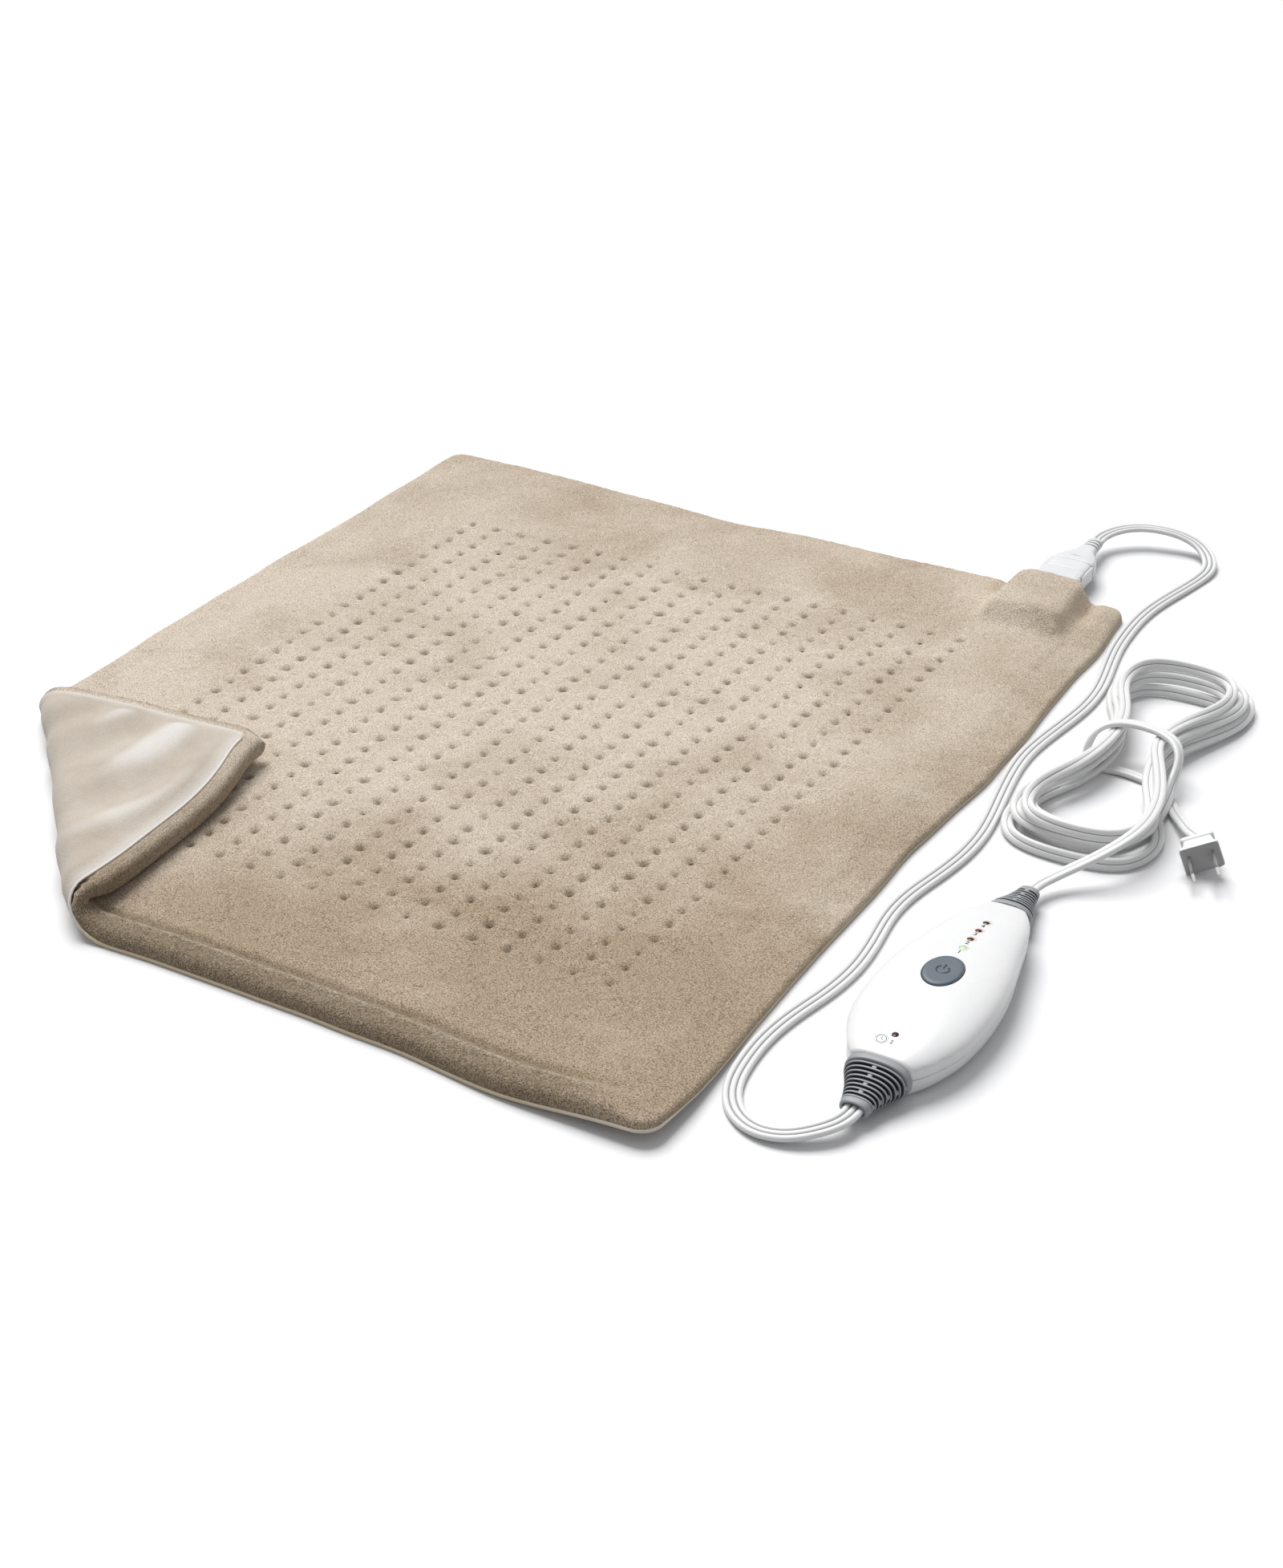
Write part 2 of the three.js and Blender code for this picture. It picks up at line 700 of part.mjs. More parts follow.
function tabPocket(side) {
  const face = connectorX + (side * socketWidth) / 2;
  const depth = tabThickness + tabTravel + seam;
  const [x0, x1] = [face - side * depth, face + side * overrun].sort((a, b) => a - b);
  return boxSolid(x0, x1, socketFront - overrun, socketFront + tabRoot + seam,
    socketMiddle - tabWidth / 2 - seam, socketMiddle + tabWidth / 2 + seam);
}

function releaseTab(side) {
  const face = connectorX + (side * socketWidth) / 2;
  const half = tabWidth / 2;
  const arch = new THREE.Shape();
  arch.moveTo(socketFront + tabRoot, -half);
  arch.lineTo(socketFront + tabRoot, half);
  arch.lineTo(socketFront - tabReach + half, half);
  arch.absarc(socketFront - tabReach + half, 0, half, Math.PI / 2, (3 * Math.PI) / 2, false);
  const press = { depth: tabThickness, bevelEnabled: false, curveSegments: 8 };
  const geometry = new THREE.ExtrudeGeometry(arch, press);
  geometry.applyMatrix4(new THREE.Matrix4().makeBasis(new THREE.Vector3(0, 1, 0), new THREE.Vector3(0, 0, 1),
    new THREE.Vector3(1, 0, 0)));
  geometry.translate(side > 0 ? face - tabThickness : face, 0, socketMiddle);
  return geometry;
}

const reliefStart = socketFront + 2 * seam + hoodLength;
const reliefLength = reliefRibs * reliefRibPitch;

function connectorRelief() {
  const [w, h] = [(socketWidth / 2) * reliefWidthShare, (socketHeight / 2) * reliefHeightShare];
  const waistShare = 0.74;
  const stations = [];
  for (let i = 0; i < reliefRibs; i++) {
    const y = reliefStart + i * reliefRibPitch;
    const taper = 1 - (0.14 * i) / reliefRibs;
    for (const [along, share] of [[0, 1], [0.62, 1], [0.66, waistShare], [0.97, waistShare]]) {
      const scale = share * taper;
      stations.push([y + reliefRibPitch * along, connectorX, socketMiddle, w * scale, h * scale]);
    }
  }
  return ovalBar(stations, reliefRoundness, 12);
}

// Cords. A flat cord keeps the side that each point gives it, so it lies flat or stands on edge as asked.
class FlatCordCurve extends THREE.CatmullRomCurve3 {
  constructor(points, sides) {
    super(points);
    this.sides = sides;
  }

  sideAt(u) {
    const place = this.getUtoTmapping(u) * (this.sides.length - 1);
    const i = Math.min(Math.floor(place), this.sides.length - 2);
    return this.sides[i].clone().lerp(this.sides[i + 1], place - i);
  }

  // Even stops, but for one at each end that keeps the cord straight where it enters a fitting
  stopAt(i, steps) {
    const end = mainsWidth / this.getLength();
    if (i === 0 || i === steps) return i / steps;
    return end + ((1 - 2 * end) * (i - 1)) / (steps - 2);
  }

  getSpacedPoints(steps) {
    const points = [];
    for (let i = 0; i <= steps; i++) points.push(this.getPointAt(this.stopAt(i, steps)));
    return points;
  }

  computeFrenetFrames(segments) {
    const frames = { tangents: [], normals: [], binormals: [] };
    for (let i = 0; i <= segments; i++) {
      const tangent = this.getTangentAt(this.stopAt(i, segments));
      const normal = this.sideAt(this.stopAt(i, segments));
      normal.addScaledVector(tangent, -normal.dot(tangent)).normalize();
      frames.tangents.push(tangent);
      frames.normals.push(normal);
      frames.binormals.push(tangent.clone().cross(normal).normalize());
    }
    return frames;
  }
}

function coredSection(width, thickness, cores) {
  const core = width / cores;
  const grooveShare = 0.62;
  const top = [];
  for (let i = 0; i < cores; i++) {
    top.push([(-cores / 2 + i + 0.5) * core, thickness / 2]);
    if (i < cores - 1) top.push([(-cores / 2 + i + 1) * core, (thickness / 2) * grooveShare]);
  }
  const outline = [[-width / 2, 0], ...top, [width / 2, 0], ...top.map(([x, y]) => [x, -y]).reverse()];
  return new THREE.Shape(outline.map(([x, y]) => new THREE.Vector2(x, y)));
}

function cordAlong(points, sides, section, steps) {
  const curve = new FlatCordCurve(points, sides);
  curve.arcLengthDivisions = 20 * steps;
  return new THREE.ExtrudeGeometry(section, { steps, bevelEnabled: false, extrudePath: curve });
}

const v = (x, y, z) => new THREE.Vector3(x, y, z);

// The lead from the pad's connector, over the floor beside the pad and into the controller
const leadRest = leadThickness / 2 + seam;
const leadSteps = 44;
const leadRoute = [
  [204, 384, 10.9], [206, 394, 11.6], [212, 406, 12.5], [224, 415, 13], [239, 419, 12.5], [252, 420, 10.5],
  [263, 417, 8], [272, 409, 5], [277, 397, 3], [276, 379, leadRest], [271, 355, leadRest],
  [266, 332, leadRest],
  [263, 308, leadRest], [263, 282, leadRest], [265, 257, leadRest], [270, 228, leadRest], [274, 204, leadRest],
  [275, 179, leadRest], [273, 158, leadRest], [269, 130, leadRest], [267, 105, leadRest], [269, 78, leadRest],
  [275, 42, leadRest], [279, 14, leadRest], [279, -13, leadRest], [275, -40, leadRest], [271, -62, leadRest],
  [270, -85, leadRest], [273, -110, leadRest], [275, -138, leadRest], [272, -165, leadRest], [267, -188, leadRest],
  [264, -213, leadRest], [265, -235, leadRest], [270, -256, leadRest], [281, -271, leadRest + 0.4],
  [294, -277, leadRest + 1.2], [308, -275, leadRest + 2.6], [318.5, -268, leadRest + 4.4],
  [325, -260, leadRest + 5.6],
  [327.5, -253, leadRest + 6], [327.5, -245, leadRest + 6],
];

function padLead() {
  const points = leadRoute.map(([x, y, z]) => v(x, y, z));
  points[0].set(connectorX, reliefStart + reliefLength + seam, socketMiddle);
  points[1].set(connectorX, reliefStart + reliefLength + leadWidth, socketMiddle);
  points[points.length - 1].set(controllerX, controllerY + lowerReliefTip + cordSeat, lowerReliefTipHeight);
  points[points.length - 2].set(controllerX, controllerY + lowerReliefTip - cordSeat, lowerReliefTipHeight);
  const sides = points.map((p, i) => {
    const before = points[Math.max(i - 1, 0)];
    const after = points[Math.min(i + 1, points.length - 1)];
    const along = after.clone().sub(before).setZ(0).normalize();
    return v(along.y, -along.x, 0);
  });
  return cordAlong(points, sides, coredSection(leadWidth, leadThickness, 3), leadSteps);
}

// Hank: one tube that spirals in on the upper layer and out on the lower one, drawn in at the waist.
// Turn angles count from the right side of the waist, towards the far lobe first.
const cordFloor = mainsWidth / 2 + seam;
const hankLayerPitch = mainsWidth + 2 * seam;
const hankPinchShare = 0.75;
// The widest share that hankBase reaches for this pinch
const hankWidestShare = 0.444;
const hankWide = hankHalfWidth / hankWidestShare;

function hankBase(angle) {
  const c = Math.cos(angle);
  return new THREE.Vector2(hankWide * c * (1 - hankPinchShare * c * c), hankHalfLength * Math.sin(angle));
}

function waistLift(y) {
  const plateauShare = 0.22;
  const fallShare = 0.55;
  const away = (Math.abs(y) / hankHalfLength - plateauShare) / (fallShare - plateauShare);
  return hankWaistLift * (1 - THREE.MathUtils.smoothstep(away, 0, 1));
}

function hankPoint(angle) {
  const whole = hankTurns * 2 * Math.PI;
  const middle = whole / 2;
  const toMiddle = Math.abs(angle - middle);
  const inward = hankPitch * ((middle - Math.max(toMiddle, Math.PI / 2)) / (2 * Math.PI));
  const dip = toMiddle < Math.PI / 2 ? (hankPitch / 4) * Math.cos(toMiddle) ** 2 : 0;
  const step = 0.001;
  const base = hankBase(angle);
  const tangent = hankBase(angle + step).sub(hankBase(angle - step)).normalize();
  const inside = new THREE.Vector2(-tangent.y, tangent.x);
  base.addScaledVector(inside, inward + dip);
  const climb = 1 - THREE.MathUtils.smoothstep(angle, middle - Math.PI / 2, middle + Math.PI / 2);
  return v(hankX + base.x, hankY + base.y, cordFloor + hankLayerPitch * climb + waistLift(base.y));
}

function hankStations() {
  const whole = hankTurns * hankSteps;
  const stations = [];
  for (let i = 0; i <= whole; i++) stations.push(hankPoint((i * 2 * Math.PI) / hankSteps));
  return stations;
}

function stationFrames(stations) {
  return stations.map((p, i) => {
    const before = stations[Math.max(i - 1, 0)];
    const after = stations[Math.min(i + 1, stations.length - 1)];
    const along = after.clone().sub(before).normalize();
    if (i === 0 || i === stations.length - 1) along.set(0, 1, 0);
    const across = v(along.y, -along.x, 0).normalize();
    return { p, along, across, up: across.clone().cross(along) };
  });
}

const edgeSectionShares = [[0, 1], [-1, 0.62], [-1, -0.62], [0, -1], [1, -0.62], [1, 0.62]];

function mainsHank() {
  const rings = stationFrames(hankStations()).map(({ p, across, up }) =>
    edgeSectionShares.map(([x, y]) => p.clone().addScaledVector(across, (x * mainsThickness) / 2)
      .addScaledVector(up, (y * mainsWidth) / 2)));
  return loft(rings);
}

// Least gap of the hank to itself, on the points of its skin against its own runs
function hankSelfGap() {
  const frames = stationFrames(hankStations());
  let least = Infinity;
  for (let i = 0; i < frames.length; i++) {
    for (let j = 0; j < frames.length - 1; j++) {
      if (Math.abs(i - j) < hankSteps / 3) continue;
      const [a, b] = [frames[j].p, frames[j + 1].p];
      for (const [x, y] of edgeSectionShares) {
        const q = frames[i].p.clone().addScaledVector(frames[i].across, (x * mainsThickness) / 2)
          .addScaledVector(frames[i].up, (y * mainsWidth) / 2);
        const near = new THREE.Line3(a, b).closestPointToPoint(q, true, v(0, 0, 0));
        const away = q.clone().sub(near);
        const flat = Math.max(Math.hypot(away.x, away.y) - mainsThickness / 2, 0);
        const tall = Math.max(Math.abs(away.z) - mainsWidth / 2, 0);
        least = Math.min(least, Math.hypot(flat, tall));
      }
    }
  }
  return least;
}

// The stretch from the controller, which climbs onto the near lobe and ends where the hank starts
const stretchSteps = 26;
const upperReliefExit = 5.5;

function mainsStretch() {
  const end = hankPoint(0);
  const top = cordFloor + hankLayerPitch;
  const low = mainsThickness / 2 + seam;
  const points = [
    v(controllerX, controllerY + upperReliefTip - cordSeat, upperReliefTipHeight),
    v(controllerX, controllerY + upperReliefTip + cordSeat, upperReliefTipHeight),
    v(332, -22, low + upperReliefExit), v(342, -5, low + upperReliefExit / 2 + 1),
    v(353, 8, top - mainsThickness), v(362, 22, top),
  ];
  for (const angle of [-0.9, -0.66, -0.42, -0.22, -0.1]) {
    const base = hankBase(angle);
    points.push(v(hankX + base.x, hankY + base.y, top + waistLift(base.y)));
  }
  points.push(end.clone().add(v(0, -mainsWidth, 0)), end.clone().add(v(0, -seam, 0)));
  const flatSide = (i) => {
    const next = points[Math.min(i + 1, points.length - 1)];
    return next.clone().sub(points[Math.max(i - 1, 0)]).setZ(0).normalize();
  };
  const sides = points.map((p, i) => {
    const along = flatSide(i);
    const twist = THREE.MathUtils.smoothstep(i, 2, 6) * (Math.PI / 2);
    return v(along.y, -along.x, 0).multiplyScalar(Math.cos(twist)).add(v(0, 0, Math.sin(twist)));
  });
  return cordAlong(points, sides, coredSection(mainsWidth, mainsThickness, 2), stretchSteps);
}

// The tail wraps the waist as the tie and runs on to the plug
const tailSteps = 46;

function mainsTail() {
  const start = hankPoint(hankTurns * 2 * Math.PI);
  const half = hankBase(0).x;
  const side = half + 1.5 * mainsThickness;
  const under = mainsThickness / 2 + seam;
  const over = cordFloor + hankLayerPitch + hankWaistLift + mainsWidth / 2 + mainsThickness / 2 + 3 * seam;
  const tall = over - under;
  const wrapShares = [
    [1.06, 15, 0.16], [0.8, 17, 0.03], [0, 15, 0], [-0.8, 13, 0.03], [-1, 12, 0.2], [-1, 11, 0.5],
    [-1, 9, 0.8], [-0.86, 7, 1], [0, 3, 1], [0.86, -1, 1], [1, -3, 0.8], [1, -5, 0.5], [1.03, -7, 0.22],
  ];
  const points = [start.clone().add(v(0, seam, 0)), start.clone().add(v(0, mainsWidth, 0))];
  for (const [x, y, z] of wrapShares) points.push(v(hankX + side * x, hankY + y, under + tall * z));
  const sides = [v(0, 0, 1), v(0, 0, 1), v(0.2, 0.6, 0.7)];
  while (sides.length < points.length) sides.push(v(0, 1, 0));
  for (const [x, y, z] of [[34, -16, 1], [40, -32, 0.6], [48, -47, 1.4], [56, -59, 4]]) {
    points.push(v(hankX + x, hankY + y, under + z));
    sides.push(v(0.8, 0.5, 0.2));
  }
  plugFrame.updateMatrixWorld();
  for (const back of [plugDepth + mainsWidth, plugDepth + seam]) {
    points.push(v(-back, 0, 0).applyMatrix4(plugFrame.matrixWorld));
    sides.push(v(0, 1, 0).transformDirection(plugFrame.matrixWorld));
  }
  return cordAlong(points, sides, coredSection(mainsWidth, mainsThickness, 2), tailSteps);
}

// Controller housing: its plan and height follow a few shares of the length
const widthShares = [
  [-1, 0.5], [-0.86, 0.72], [-0.6, 0.93], [-0.25, 1], [0.1, 0.94], [0.45, 0.77], [0.8, 0.58], [1, 0.37],
];
const heightShares = [[-1, 0.78], [-0.6, 0.93], [-0.15, 1], [0.3, 0.97], [0.7, 0.85], [1, 0.67]];

function alongShares(shares, place) {
  const curve = new THREE.SplineCurve(shares.map(([x, y]) => new THREE.Vector2(x, y)));
  let [low, high] = [0, 1];
  for (let i = 0; i < 30; i++) {
    const middle = (low + high) / 2;
    if (curve.getPoint(middle).x < place) low = middle;
    else high = middle;
  }
  return curve.getPoint(low).y;
}

function housingHalfWidth(y) {
  return (housingWidth / 2) * alongShares(widthShares, (2 * y) / housingLength);
}

function housingTop(y) {
  return housingHeight * alongShares(heightShares, (2 * y) / housingLength);
}

function halfSection(y, inset, upper) {
  const half = housingHalfWidth(y) - inset;
  const parting = partingHeight + (upper ? seam / 2 : -seam / 2);
  const reach = (upper ? housingTop(y) - partingHeight : partingHeight) - seam / 2 - inset;
  const power = upper ? 2.7 : 3.6;
  const ring = [];
  for (let i = 0; i <= halfSectionSteps; i++) {
    const angle = (Math.PI * i) / halfSectionSteps;
    const [c, s] = [Math.cos(angle), Math.sin(angle)];
    const x = half * Math.sign(c) * Math.abs(c) ** (2 / power);
    const z = reach * Math.abs(s) ** (2 / power);
    ring.push(v(x, y, upper ? parting + z : parting - z));
  }
  if (inset > 0) {
    ring[0].z += upper ? -overrun : overrun;
    ring[ring.length - 1].z += upper ? -overrun : overrun;
  }
  return ring;
}

function housingHalf(upper) {
  const skin = (inset) => {
    const rings = [];
    const half = housingLength / 2 - inset;
    for (let i = 0; i <= housingSections; i++) {
      const roundPlace = -half * Math.cos((Math.PI * i) / housingSections);
      const evenPlace = half * (2 * i / housingSections - 1);
      const y = roundPlace * 0.35 + evenPlace * 0.65;
      rings.push(halfSection(y, inset, upper));
    }
    return solid(loft(rings));
  };
  return skin(0).subtract(skin(housingWall));
}

// Places along and across the housing are shares of its half length and half width.
const screwShares = [[-0.515, -0.684], [0.515, -0.684], [-0.424, 0.553], [0.424, 0.553]];
const screwPlaces = screwShares.map(([x, y]) => [(x * housingWidth) / 2, (y * housingLength) / 2]);
const screwTop = partingHeight + screwGrip;
const indicatorShares = { high: 0.61, medium: 0.48, low: 0.349, warm: 0.22, timer: -0.796 };
const indicatorPlaces = Object.fromEntries(
  Object.entries(indicatorShares).map(([name, share]) => [name, (share * housingLength) / 2]));
const buttonShare = -0.088;
const buttonY = (buttonShare * housingLength) / 2;

function oval(width, length, steps = 20) {
  const points = [];
  for (let i = 0; i < steps; i++) {
    const angle = (2 * Math.PI * i) / steps;
    points.push(new THREE.Vector2((width / 2) * Math.cos(angle), (length / 2) * Math.sin(angle)));
  }
  return points;
}

function mouthCut(relief) {
  const { end, outward, neckWidth, neckHeight, axis } = relief;
  const [y0, y1] = [end - outward * (housingWall + overrun), end + outward * overrun].sort((a, b) => a - b);
  return solid(ovalBar([[y0, 0, axis, neckWidth / 2 + seam, neckHeight / 2 + seam],
    [y1, 0, axis, neckWidth / 2 + seam, neckHeight / 2 + seam]], neckRoundness, 16));
}

function topShell() {
  let shell = housingHalf(true);
  for (const [x, y] of screwPlaces) {
    const ceiling = housingTop(y) - housingWall / 2;
    shell = shell.add(post(x, y, partingHeight + seam / 2, ceiling - housingWall, upperBossRadius));
    shell = shell.subtract(post(x, y, partingHeight - overrun, screwTop + seam, screwShankRadius + seam));
  }
  const buttonOutline = oval(buttonWidth + 2 * buttonGap, buttonLength + 2 * buttonGap);
  const buttonHole = solid(plate(buttonOutline, partingHeight + overrun, housingHeight + overrun));
  shell = shell.subtract(buttonHole.translate(0, buttonY, 0));
  for (const y of Object.values(indicatorPlaces)) {
    const [from, to] = [partingHeight + overrun, housingHeight + overrun];
    shell = shell.subtract(post(0, y, from, to, indicatorRadius + seam));
  }
  return shell.subtract(mouthCut(lowerRelief)).subtract(mouthCut(upperRelief));
}

function bottomShell() {
  let shell = housingHalf(false);
  for (const [x, y] of screwPlaces) {
    shell = shell.add(post(x, y, housingWall / 2, boardHeight - seam, bossFootRadius));
    shell = shell.add(post(x, y, housingWall / 2, partingHeight - seam / 2, bossRadius));
    shell = shell.subtract(post(x, y, -overrun, partingHeight + overrun, screwShankRadius + seam));
    const recessEnd = screwRecess + screwHeadHeight + seam;
    shell = shell.subtract(post(x, y, -overrun, recessEnd, screwHeadRadius + seam));
  }
  return shell.subtract(mouthCut(lowerRelief)).subtract(mouthCut(upperRelief));
}

function screw(x, y) {
  return post(x, y, screwRecess, screwRecess + screwHeadHeight, screwHeadRadius)
    .add(post(x, y, screwRecess, screwTop, screwShankRadius));
}

function powerButton() {
  const top = housingTop(buttonY) + buttonProud;
  const flangeTop = housingTop(buttonY) - housingWall - buttonFlangeDepth;
  const base = flangeTop - buttonFlangeThickness;
  const ring = (share, z) => oval(buttonWidth * share, buttonLength * share).map((p) => v(p.x, p.y, z));
  const wide = (buttonWidth + 2 * buttonFlange) / buttonWidth;
  const crownShares = [[1, 1.1], [0.93, 0.5], [0.7, 0.11], [0.3, 0]];
  const crown = crownShares.map(([share, down]) => ring(share, top - buttonProud * down));
  const body = loft([ring(wide, base), ring(wide, flangeTop), ring(1, flangeTop), ...crown]);
  body.translate(0, buttonY, 0);
  const plungerEnd = switchTop + buttonTravel + seam / 1.5;
  const inside = oval(buttonWidth - 2 * buttonWall, buttonLength - 2 * buttonWall, 16);
  const hollow = solid(plate(inside, base - overrun, top - buttonCapThickness)).translate(0, buttonY, 0);
  const plunger = post(0, buttonY, plungerEnd, top - buttonCapThickness + seam, plungerRadius);
  return solid(body).subtract(hollow).add(plunger);
}

const onBoard = boardHeight + boardThickness + seam;
const switchTop = onBoard + switchHeight + switchStem;

function tactSwitch() {
  const half = switchBodyWidth / 2;
  return boxSolid(-half, half, buttonY - half, buttonY + half, onBoard, onBoard + switchHeight)
    .add(post(0, buttonY, onBoard, switchTop, switchStemRadius));
}

function circuitBoard() {
  const reach = housingLength / 2 - housingWall - reliefFlangeThickness - boardClearance;
  const half = housingWidth / 2 - housingWall - boardClearance;
  const outlineShares = [
    [-0.8, -0.98], [0.8, -0.98], [1, -0.86], [1, 0], [0.72, 0.82], [-0.72, 0.82], [-1, 0], [-1, -0.86],
  ];
  const outline = outlineShares.map(([x, y]) => new THREE.Vector2(half * x, reach * y));
  let board = solid(plate(outline, boardHeight, boardHeight + boardThickness));
  for (const [x, y] of screwPlaces) {
    const [from, to] = [boardHeight - overrun, boardHeight + boardThickness + overrun];
    board = board.subtract(post(x, y, from, to, bossRadius + seam));
  }
  return board;
}

function indicator(y) {
  const top = housingTop(y) - 2 * seam;
  return post(0, y, onBoard, onBoard + indicatorFlangeThickness, indicatorRadius + indicatorFlange)
    .add(post(0, y, onBoard, top, indicatorRadius));
}

// The parts on the board stand at shares of the housing's half width and half length.
function onBoardAt(acrossShare, alongShare) {
  return [(acrossShare * housingWidth) / 2, (alongShare * housingLength) / 2];
}

function triac() {
  const [x, y] = onBoardAt(0.424, -0.47);
  const half = triacWidth / 2;
  const back = y + triacThickness / 2;
  return boxSolid(x - half, x + half, back - triacThickness, back, onBoard, onBoard + triacHeight)
    .add(boxSolid(x - half, x + half, back - triacTabThickness / 2, back + triacTabThickness,
      onBoard + triacTabHeight / 4, onBoard + triacTabHeight));
}

function fuse() {
  const [x, y] = onBoardAt(-0.364, 0.21);
  const half = fuseClipWidth / 2;
  const middle = onBoard + fuseRadius + seam;
  const clip = (start) => boxSolid(x - half, x + half, start, start + fuseClipLength, onBoard, middle);
  return rodAlongY(x, middle, y - fuseLength / 2, y + fuseLength / 2, fuseRadius, 10)
    .add(clip(y - fuseLength / 2 + fuseClipLength / 3))
    .add(clip(y + fuseLength / 2 - (4 * fuseClipLength) / 3));
}

function capacitor() {
  const [x, y] = onBoardAt(-0.424, -0.46);
  return boxSolid(x - capacitorWidth / 2, x + capacitorWidth / 2,
    y - capacitorLength / 2, y + capacitorLength / 2, onBoard, onBoard + capacitorHeight);
}

function microcontroller() {
  const [x, y] = onBoardAt(0.333, 0.132);
  return boxSolid(x - chipWidth / 2, x + chipWidth / 2, y - chipLength / 2, y + chipLength / 2,
    onBoard, onBoard + chipHeight);
}

// Slotted strain reliefs: a core with a row of oval ribs that taper to the cord, held apart by bridges.
// The first gap and every second one keep a bridge on the centre line, the others keep one on each side.
const lowerRelief = {
  end: -housingLength / 2, outward: -1, length: 28, axis: 10.4, drop: 2.4, rows: 9,
  collarWidth: 33, collarHeight: 19.6, tipWidth: 14, tipHeight: 8.4, neckWidth: 22, neckHeight: 11,
};
const upperRelief = {
  end: housingLength / 2, outward: 1, length: 30, axis: 9.4, drop: 1.4, rows: 8,
  collarWidth: 24.5, collarHeight: 16.6, tipWidth: 11, tipHeight: 7.6, neckWidth: 16, neckHeight: 9.5,
};
const lowerReliefTip = lowerRelief.end - lowerRelief.length;
const lowerReliefTipHeight = lowerRelief.axis - lowerRelief.drop;
const upperReliefTip = upperRelief.end + upperRelief.length;
const upperReliefTipHeight = upperRelief.axis - upperRelief.drop;

const coreShare = 0.62;
const ribRoundness = 2.4;
const taperShares = [[0, 1], [0.13, 0.98], [0.3, 0.72], [0.5, 0.42], [0.75, 0.16], [1, 0]];

function strainRelief(relief, cordWidth, cordThickness) {
  const { end, outward, length, axis, drop, rows } = relief;
  const at = (distance) => end + outward * (seam + distance);
  const bodyLength = length - seam;
  const ring = (distance, scale, steps) => {
    const along = distance / bodyLength;
    const share = alongShares(taperShares, along);
    const half = (relief.tipWidth + (relief.collarWidth - relief.tipWidth) * share) / 2;
    const tall = (relief.tipHeight + (relief.collarHeight - relief.tipHeight) * share) / 2;
    return { half, tall, middle: axis - drop * along, points: ovalRing(at(distance), 0, axis - drop * along,
      half * scale, tall * scale, ribRoundness, steps) };
  };
  const rib = (from, to) => solid(loft([ring(from, 1, 12).points, ring(to, 1, 12).points]));
  const inner = -housingWall - 2 * seam;
  const oblong = (from, to, w, h) =>
    solid(ovalBar([[at(from), 0, axis, w, h], [at(to), 0, axis, w, h]], neckRoundness, 12));
  const pitch = (bodyLength - collarLength - tipRing) / rows;
  const ribWidth = pitch - slotWidth;
  const coreRings = taperShares.map(([along]) => {
    return ring(Math.max(bodyLength * along, seam), coreShare, 8).points;
  });
  const flangeStart = inner - reliefFlangeThickness;
  let piece = joined(solid(loft(coreRings)), rib(0, collarLength),
    rib(bodyLength - tipRing - seam, bodyLength),
    oblong(flangeStart, overrun, relief.neckWidth / 2, relief.neckHeight / 2),
    oblong(flangeStart, inner, relief.neckWidth / 2 + reliefFlangeRim,
      relief.neckHeight / 2 + reliefFlangeRim));
  for (let row = 0; row < rows; row++) {
    const slotStart = collarLength + pitch * row;
    const slotEnd = slotStart + slotWidth;
    piece = piece.add(rib(slotEnd, slotEnd + ribWidth));
    const { half, tall, middle } = ring(slotEnd, 1, 4);
    const [y0, y1] = [at(slotStart - seam), at(slotEnd + seam)].sort((a, b) => a - b);
    const bridge = slotBridge / 2;
    piece = piece.add(row % 2 === 0
      ? boxSolid(-bridge, bridge, y0, y1, middle - tall + seam, middle + tall - seam)
      : boxSolid(-half + seam, half - seam, y0, y1, middle - bridge, middle + bridge));
  }
  const [w, h] = [cordWidth / 2 + 2 * seam, cordThickness / 2 + 2 * seam];
  return piece.subtract(solid(ovalBar([[at(bodyLength - cordSeat - seam), 0, axis - drop, w, h],
    [at(bodyLength + overrun), 0, axis - drop, w, h]], 5, 12)));
}

// Plug: local X points along the blades, local Y across them
const plugYaw = -66;
const plugPitch = -3;
const plugRoll = 21.5;
const plugBesideHank = 69.6;
const plugBeforeHank = 89.6;
const plugFaceHeight = 10.6;
const plugFace = v(hankX + plugBesideHank, hankY - plugBeforeHank, plugFaceHeight);
const plugFrame = new THREE.Group();
plugFrame.position.copy(plugFace);
plugFrame.rotation.set(...[plugRoll, plugPitch, plugYaw].map(THREE.MathUtils.degToRad), 'ZYX');

function plugRing(x, width, height) {
  return ovalRing(0, 0, 0, width / 2, height / 2, 7, 16).map((p) => v(x, p.x, p.z));
}

function plugBody() {
  const profileShares = [
    [0, 1, 1], [0.14, 1, 1], [0.17, 0.86, 0.86], [0.72, 0.72, 0.74], [0.76, 0.84, 0.84],
    [0.92, 0.84, 0.84], [1, 0.76, 0.74],
  ];
  const rings = profileShares.map(([x, w, h]) => plugRing(-plugDepth * x, plugWidth * w, plugHeight * h));
  const body = solid(loft(rings));
  const seats = [-1, 1].map((side) => {
    const y = (side * bladeSpacing) / 2;
    return boxSolid(-bladeSeat - seam, overrun, y - bladeThickness / 2 - seam, y + bladeThickness / 2 + seam,
      -bladeWidth / 2 - seam, bladeWidth / 2 + seam);
  });
  return body.subtract(seats[0]).subtract(seats[1]);
}

